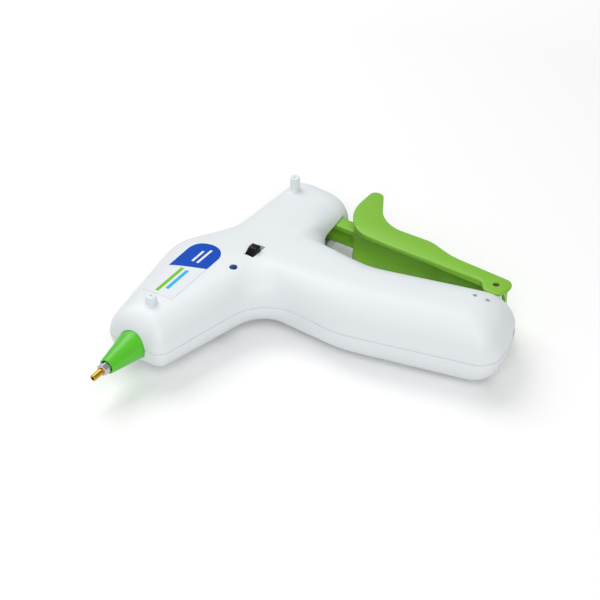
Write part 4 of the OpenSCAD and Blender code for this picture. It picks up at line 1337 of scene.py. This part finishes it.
@dataclass
class EndFittings:
    """What shows at the ends and underneath: the stick guide, the charging socket and the screws."""

    housing: Housing
    guide_r: float = 5.05
    guide_rear: float = 3.0
    guide_step: float = 6.4
    guide_front: float = 8.4
    guide_collar: float = 0.4
    stick_bore: float = 3.95
    port_w: float = 7.6
    port_h: float = 2.8
    port_len: float = 5.6
    port_base: float = -1.2
    port_back: float = 1.0
    port_wall: float = 0.35
    port_corner: float = 1.1
    port_tongue: Corner = (4.8, 4.2, 0.6)
    head_r: float = 2.3
    head_h: float = 1.8
    recess: tuple[float, float] = (1.3, 0.3)
    shank_r: float = 1.25
    shank_up: float = 5.0

    def build(self) -> None:
        """Builds the guide, the socket and the screws."""
        back = -self.housing.skin.barrel_len
        rear, step, front = self.guide_rear, self.guide_step, self.guide_front
        wide = self.guide_r + self.guide_collar
        guide = [(rear, self.stick_bore, 0.45), (rear, self.guide_r, 0.3), (step, self.guide_r, 0.05),
                 (step, wide, 0.1), (front, wide, 0.2), (front, self.stick_bore, 0.3)]
        finished("stick_bush", lathe(guide, (back, 0, 0), (1, 0, 0), 72), Finishes.HOUSING, Body.HOUSING,
                 "white_housing", "stick_guide")
        self.build_socket()
        self.build_screws()

    def build_socket(self) -> None:
        """Builds the charging socket: a drawn metal shell with a tongue."""
        turn = self.housing.handle_frame()
        half_w, half_h = self.port_w / 2, self.port_h / 2
        middle = Vector((self.housing.port_across, self.housing.port_mouth() - self.port_len,
                         self.port_base + half_h))
        ends = [(-half_w, -half_h), (half_w, -half_h), (half_w, half_h), (-half_w, half_h)]
        ring = rounded([(x, z, self.port_corner) for x, z in ends], 15)
        bm = raised([Vector((p.x, 0, p.y)) for p in ring], (0, self.port_len, 0))
        mouth = max(bm.faces, key=lambda f: f.calc_center_median().y)
        bmesh.ops.inset_region(bm, faces=[mouth], thickness=self.port_wall, use_even_offset=True)
        push(bm, mouth, (0, self.port_back - self.port_len, 0))
        bmesh.ops.delete(bm, geom=[mouth], context="FACES_ONLY")
        place = Matrix.Translation((0, self.port_len / 2, 0)) @ Matrix.Diagonal((*self.port_tongue, 1))
        tongue = bmesh.ops.create_cube(bm, size=1.0, matrix=place)["verts"]
        edges = list(dict.fromkeys(e for v in tongue for e in v.link_edges))
        bmesh.ops.bevel(bm, geom=edges, offset=0.12, segments=2, profile=0.5, affect="EDGES", material=-1)
        bmesh.ops.transform(bm, matrix=to_frame() @ turn @ Matrix.Translation(middle), verts=bm.verts)
        finished("charge_socket", mended(bm), Finishes.PLATED_STEEL, Body.HOUSING, "steel", "charge_port")

    def build_screws(self) -> None:
        """Builds the five housing screws with crossed recesses."""
        seat = self.housing.head_seat
        r, shank = self.head_r, self.shank_r
        top = -seat - self.head_h
        profile = [on_axis(top), (top, r, 0.6), (-seat, r, 0.1), (-seat, shank, 0.1),
                   (self.shank_up, shank, 0.4), on_axis(self.shank_up)]
        whole = bmesh.new()
        for x, y in self.housing.screw_places():
            bm = lathe(profile, (x, y, 0), (0, 0, 1), 40)
            for wide, narrow in (self.recess, self.recess[::-1]):
                cross = bmesh.new()
                add_block(cross, (x - wide, y - narrow, top - 1), (x + wide, y + narrow, top + 1))
                bm = combine(bm, cross, Join.CUT)
            mesh = bpy.data.meshes.new("scratch")
            bm.to_mesh(mesh)
            bm.free()
            whole.from_mesh(mesh)
            bpy.data.meshes.remove(mesh)
        finished("case_screws", whole, Finishes.DARK_STEEL, Body.HOUSING, "dark_steel", "housing_screws")


@dataclass
class ReturnSpring:
    """The coil spring round the stick, which shortens as the carriage comes forward."""

    wire_r: float = 0.4
    coil_r: float = 4.65
    turns: int = 7
    turn_steps: int = 32
    travel: float = 15.5

    def build(self) -> None:
        """Winds the spring over the length of the imported one."""
        low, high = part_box("return_spring")
        length = (high.x - low.x) / MM
        start = (low.x - ORIGIN.x) / MM + self.wire_r
        steps = self.turns * self.turn_steps
        bm = bmesh.new()
        wire = bmesh.ops.create_circle(bm, cap_ends=False, segments=12, radius=self.wire_r,
                                       matrix=Matrix.Translation((start, self.coil_r, 0)))["verts"]
        bmesh.ops.spin(bm, geom=wire + bm.edges[:], cent=(0, 0, 0), axis=(1, 0, 0),
                       angle=2 * math.pi * self.turns, steps=steps,
                       dvec=((length - 2 * self.wire_r) / steps, 0, 0))
        bmesh.ops.holes_fill(bm, edges=[e for e in bm.edges if e.is_boundary])
        bmesh.ops.transform(bm, matrix=to_frame(), verts=bm.verts)
        piece = finished("coil_spring", mended(bm), Finishes.STEEL, Body.HOUSING, "steel",
                         "return_spring")
        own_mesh(piece)


@dataclass
class Works:
    """Pieces inside the housing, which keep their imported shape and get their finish."""

    finishes: dict[str, Finish] = field(default_factory=lambda: {
        "melt_chamber": Finishes.ALUMINIUM, "heater_element": Finishes.CERAMIC,
        "thermal_fuse": Finishes.FUSE, "chamber_mounts": Finishes.SILICONE,
        "inlet_sleeve": Finishes.SILICONE, "feed_carriage": Finishes.NYLON,
        "gripper_jaw": Finishes.STEEL, "gripper_pin": Finishes.STEEL, "switch_body": Finishes.GREY,
        "switch_board": Finishes.BOARD, "control_board": Finishes.BOARD, "charge_lights": Finishes.PIPE,
        "battery_cell": Finishes.CELL, "battery_tabs": Finishes.PLATED_STEEL, "power_leads": Finishes.WIRE})

    def build(self) -> None:
        """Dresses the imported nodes."""
        for name, finish in self.finishes.items():
            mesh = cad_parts[name].data
            mesh.materials.clear()
            mesh.materials.append(finish.material())
            LOG.info("%s: packed shape in %s", name, finish.name)


@dataclass(frozen=True)
class SoftLamp:
    """A square soft lamp, hung at an offset in metres from what it lights."""

    name: str
    offset: Corner
    size: float
    watts: float

    def hang(self, aim: Vector) -> None:
        """Hangs the lamp.

        Args:
            aim: What it points at.
        """
        data = bpy.data.lights.new(self.name, "AREA")
        data.size = self.size
        data.energy = self.watts
        lamp = bpy.data.objects.new(self.name, data)
        lamp.location = aim + Vector(self.offset)
        lamp.rotation_euler = (-Vector(self.offset)).to_track_quat("-Z", "Y").to_euler()
        bpy.context.scene.collection.objects.link(lamp)


@dataclass
class Studio:
    """The floor, the lights and the camera."""

    azimuth: float = 124.0
    elevation: float = 38.0
    distance: float = 0.620
    target: Corner = (-56.7, 35.8, 0.0)
    focal_pixels: float = 1640.0
    image_pixels: float = 600.0
    sensor_mm: float = 36.0
    world_light: float = 0.4
    floor_size: float = 6.0
    # The lamps' light falls off over this stretch of the floor, in metres, and the floor's own white makes up
    floor_fade: tuple[float, float] = (0.25, 1.1)
    floor_white: tuple[float, float] = (0.05, 0.6)
    lamps: tuple[SoftLamp, ...] = (SoftLamp("key", (-0.15, -0.42, 0.72), 0.6, 3.6),
                                   SoftLamp("fill", (0.5, 0.44, 0.66), 0.6, 3.7))

    def build(self) -> None:
        """Sets up the view, the light and the floor."""
        scene = bpy.context.scene
        scene.view_settings.view_transform = "Standard"
        self.build_camera(scene)
        self.build_world(scene)
        self.build_floor(scene)
        for lamp in self.lamps:
            lamp.hang(at(*self.target))

    def build_camera(self, scene: bpy.types.Scene) -> None:
        """Places the camera at the photograph's angle.

        Args:
            scene: Scene that takes it.
        """
        a, e = math.radians(self.azimuth), math.radians(self.elevation)
        back = Vector((math.sin(a) * math.cos(e), -math.cos(a) * math.cos(e), math.sin(e)))
        data = bpy.data.cameras.new("camera")
        data.sensor_width = self.sensor_mm
        data.lens = self.focal_pixels / self.image_pixels * self.sensor_mm
        data.clip_start = 0.01
        camera = bpy.data.objects.new("camera", data)
        camera.location = at(*self.target) + back * self.distance
        camera.rotation_euler = (-back).to_track_quat("-Z", "Y").to_euler()
        scene.collection.objects.link(camera)
        scene.camera = camera

    def seen(self, tree: bpy.types.NodeTree) -> bpy.types.NodeSocket:
        """Tells what is seen from what only gives light.

        Args:
            tree: Tree that takes the nodes.

        Returns:
            A socket that is 1 for what the camera, a mirror or a lens sees, and 0 for light.
        """
        path = add_node(tree, "ShaderNodeLightPath", {}, {}).outputs
        first = add_node(tree, "ShaderNodeMath", {"operation": "MAXIMUM"},
                         {0: path["Is Camera Ray"], 1: path["Is Glossy Ray"]}).outputs[0]
        return add_node(tree, "ShaderNodeMath", {"operation": "MAXIMUM"},
                        {0: first, 1: path["Is Transmission Ray"]}).outputs[0]

    def build_world(self, scene: bpy.types.Scene) -> None:
        """Makes an even pale surround.

        Args:
            scene: Scene that takes it.
        """
        world = bpy.data.worlds.new("surround")
        world.use_nodes = True
        background = world.node_tree.nodes["Background"]
        background.inputs["Color"].default_value = (1.0, 1.0, 1.0, 1.0)
        background.inputs["Strength"].default_value = self.world_light
        scene.world = world

    def build_floor(self, scene: bpy.types.Scene) -> None:
        """Lays a white floor that keeps the object's shadow.

        Args:
            scene: Scene that takes it.
        """
        bm = bmesh.new()
        bmesh.ops.create_grid(bm, x_segments=8, y_segments=8, size=self.floor_size / 2)
        mesh = bpy.data.meshes.new("floor")
        bm.to_mesh(mesh)
        bm.free()
        floor = bpy.data.objects.new("floor", mesh)
        scene.collection.objects.link(floor)
        material = bpy.data.materials.new("white_sweep")
        material.use_nodes = True
        tree = material.node_tree
        shader = tree.nodes["Principled BSDF"]
        shader.inputs["Base Color"].default_value = (0.95, 0.95, 0.95, 1.0)
        shader.inputs["Roughness"].default_value = 0.9
        shader.inputs["Specular IOR Level"].default_value = 0.0
        shader.inputs["Emission Color"].default_value = (1.0, 1.0, 1.0, 1.0)
        place = add_node(tree, "ShaderNodeTexCoord", {}, {}).outputs["Object"]
        away = add_node(tree, "ShaderNodeVectorMath", {"operation": "LENGTH"}, {0: place}).outputs["Value"]
        (near, far), (least, most) = self.floor_fade, self.floor_white
        white = add_node(tree, "ShaderNodeMapRange",
                         {"From Min": near, "From Max": far, "To Min": least, "To Max": most},
                         {"Value": away}).outputs["Result"]
        glow = add_node(tree, "ShaderNodeMath", {"operation": "MULTIPLY"}, {0: white, 1: self.seen(tree)})
        tree.links.new(glow.outputs[0], shader.inputs["Emission Strength"])
        mesh.materials.append(material)


def main() -> None:
    """Builds the studio and the object's sub-assemblies in order."""
    logging.basicConfig(level=logging.INFO, format="%(message)s")
    Studio().build()
    housing = Housing()
    housing.build()
    SqueezeLever(housing.pivot()).build()
    Nozzle().build()
    SideControls(housing).build()
    EndFittings(housing).build()
    ReturnSpring().build()
    Works().build()


if __name__ == "__main__":
    main()
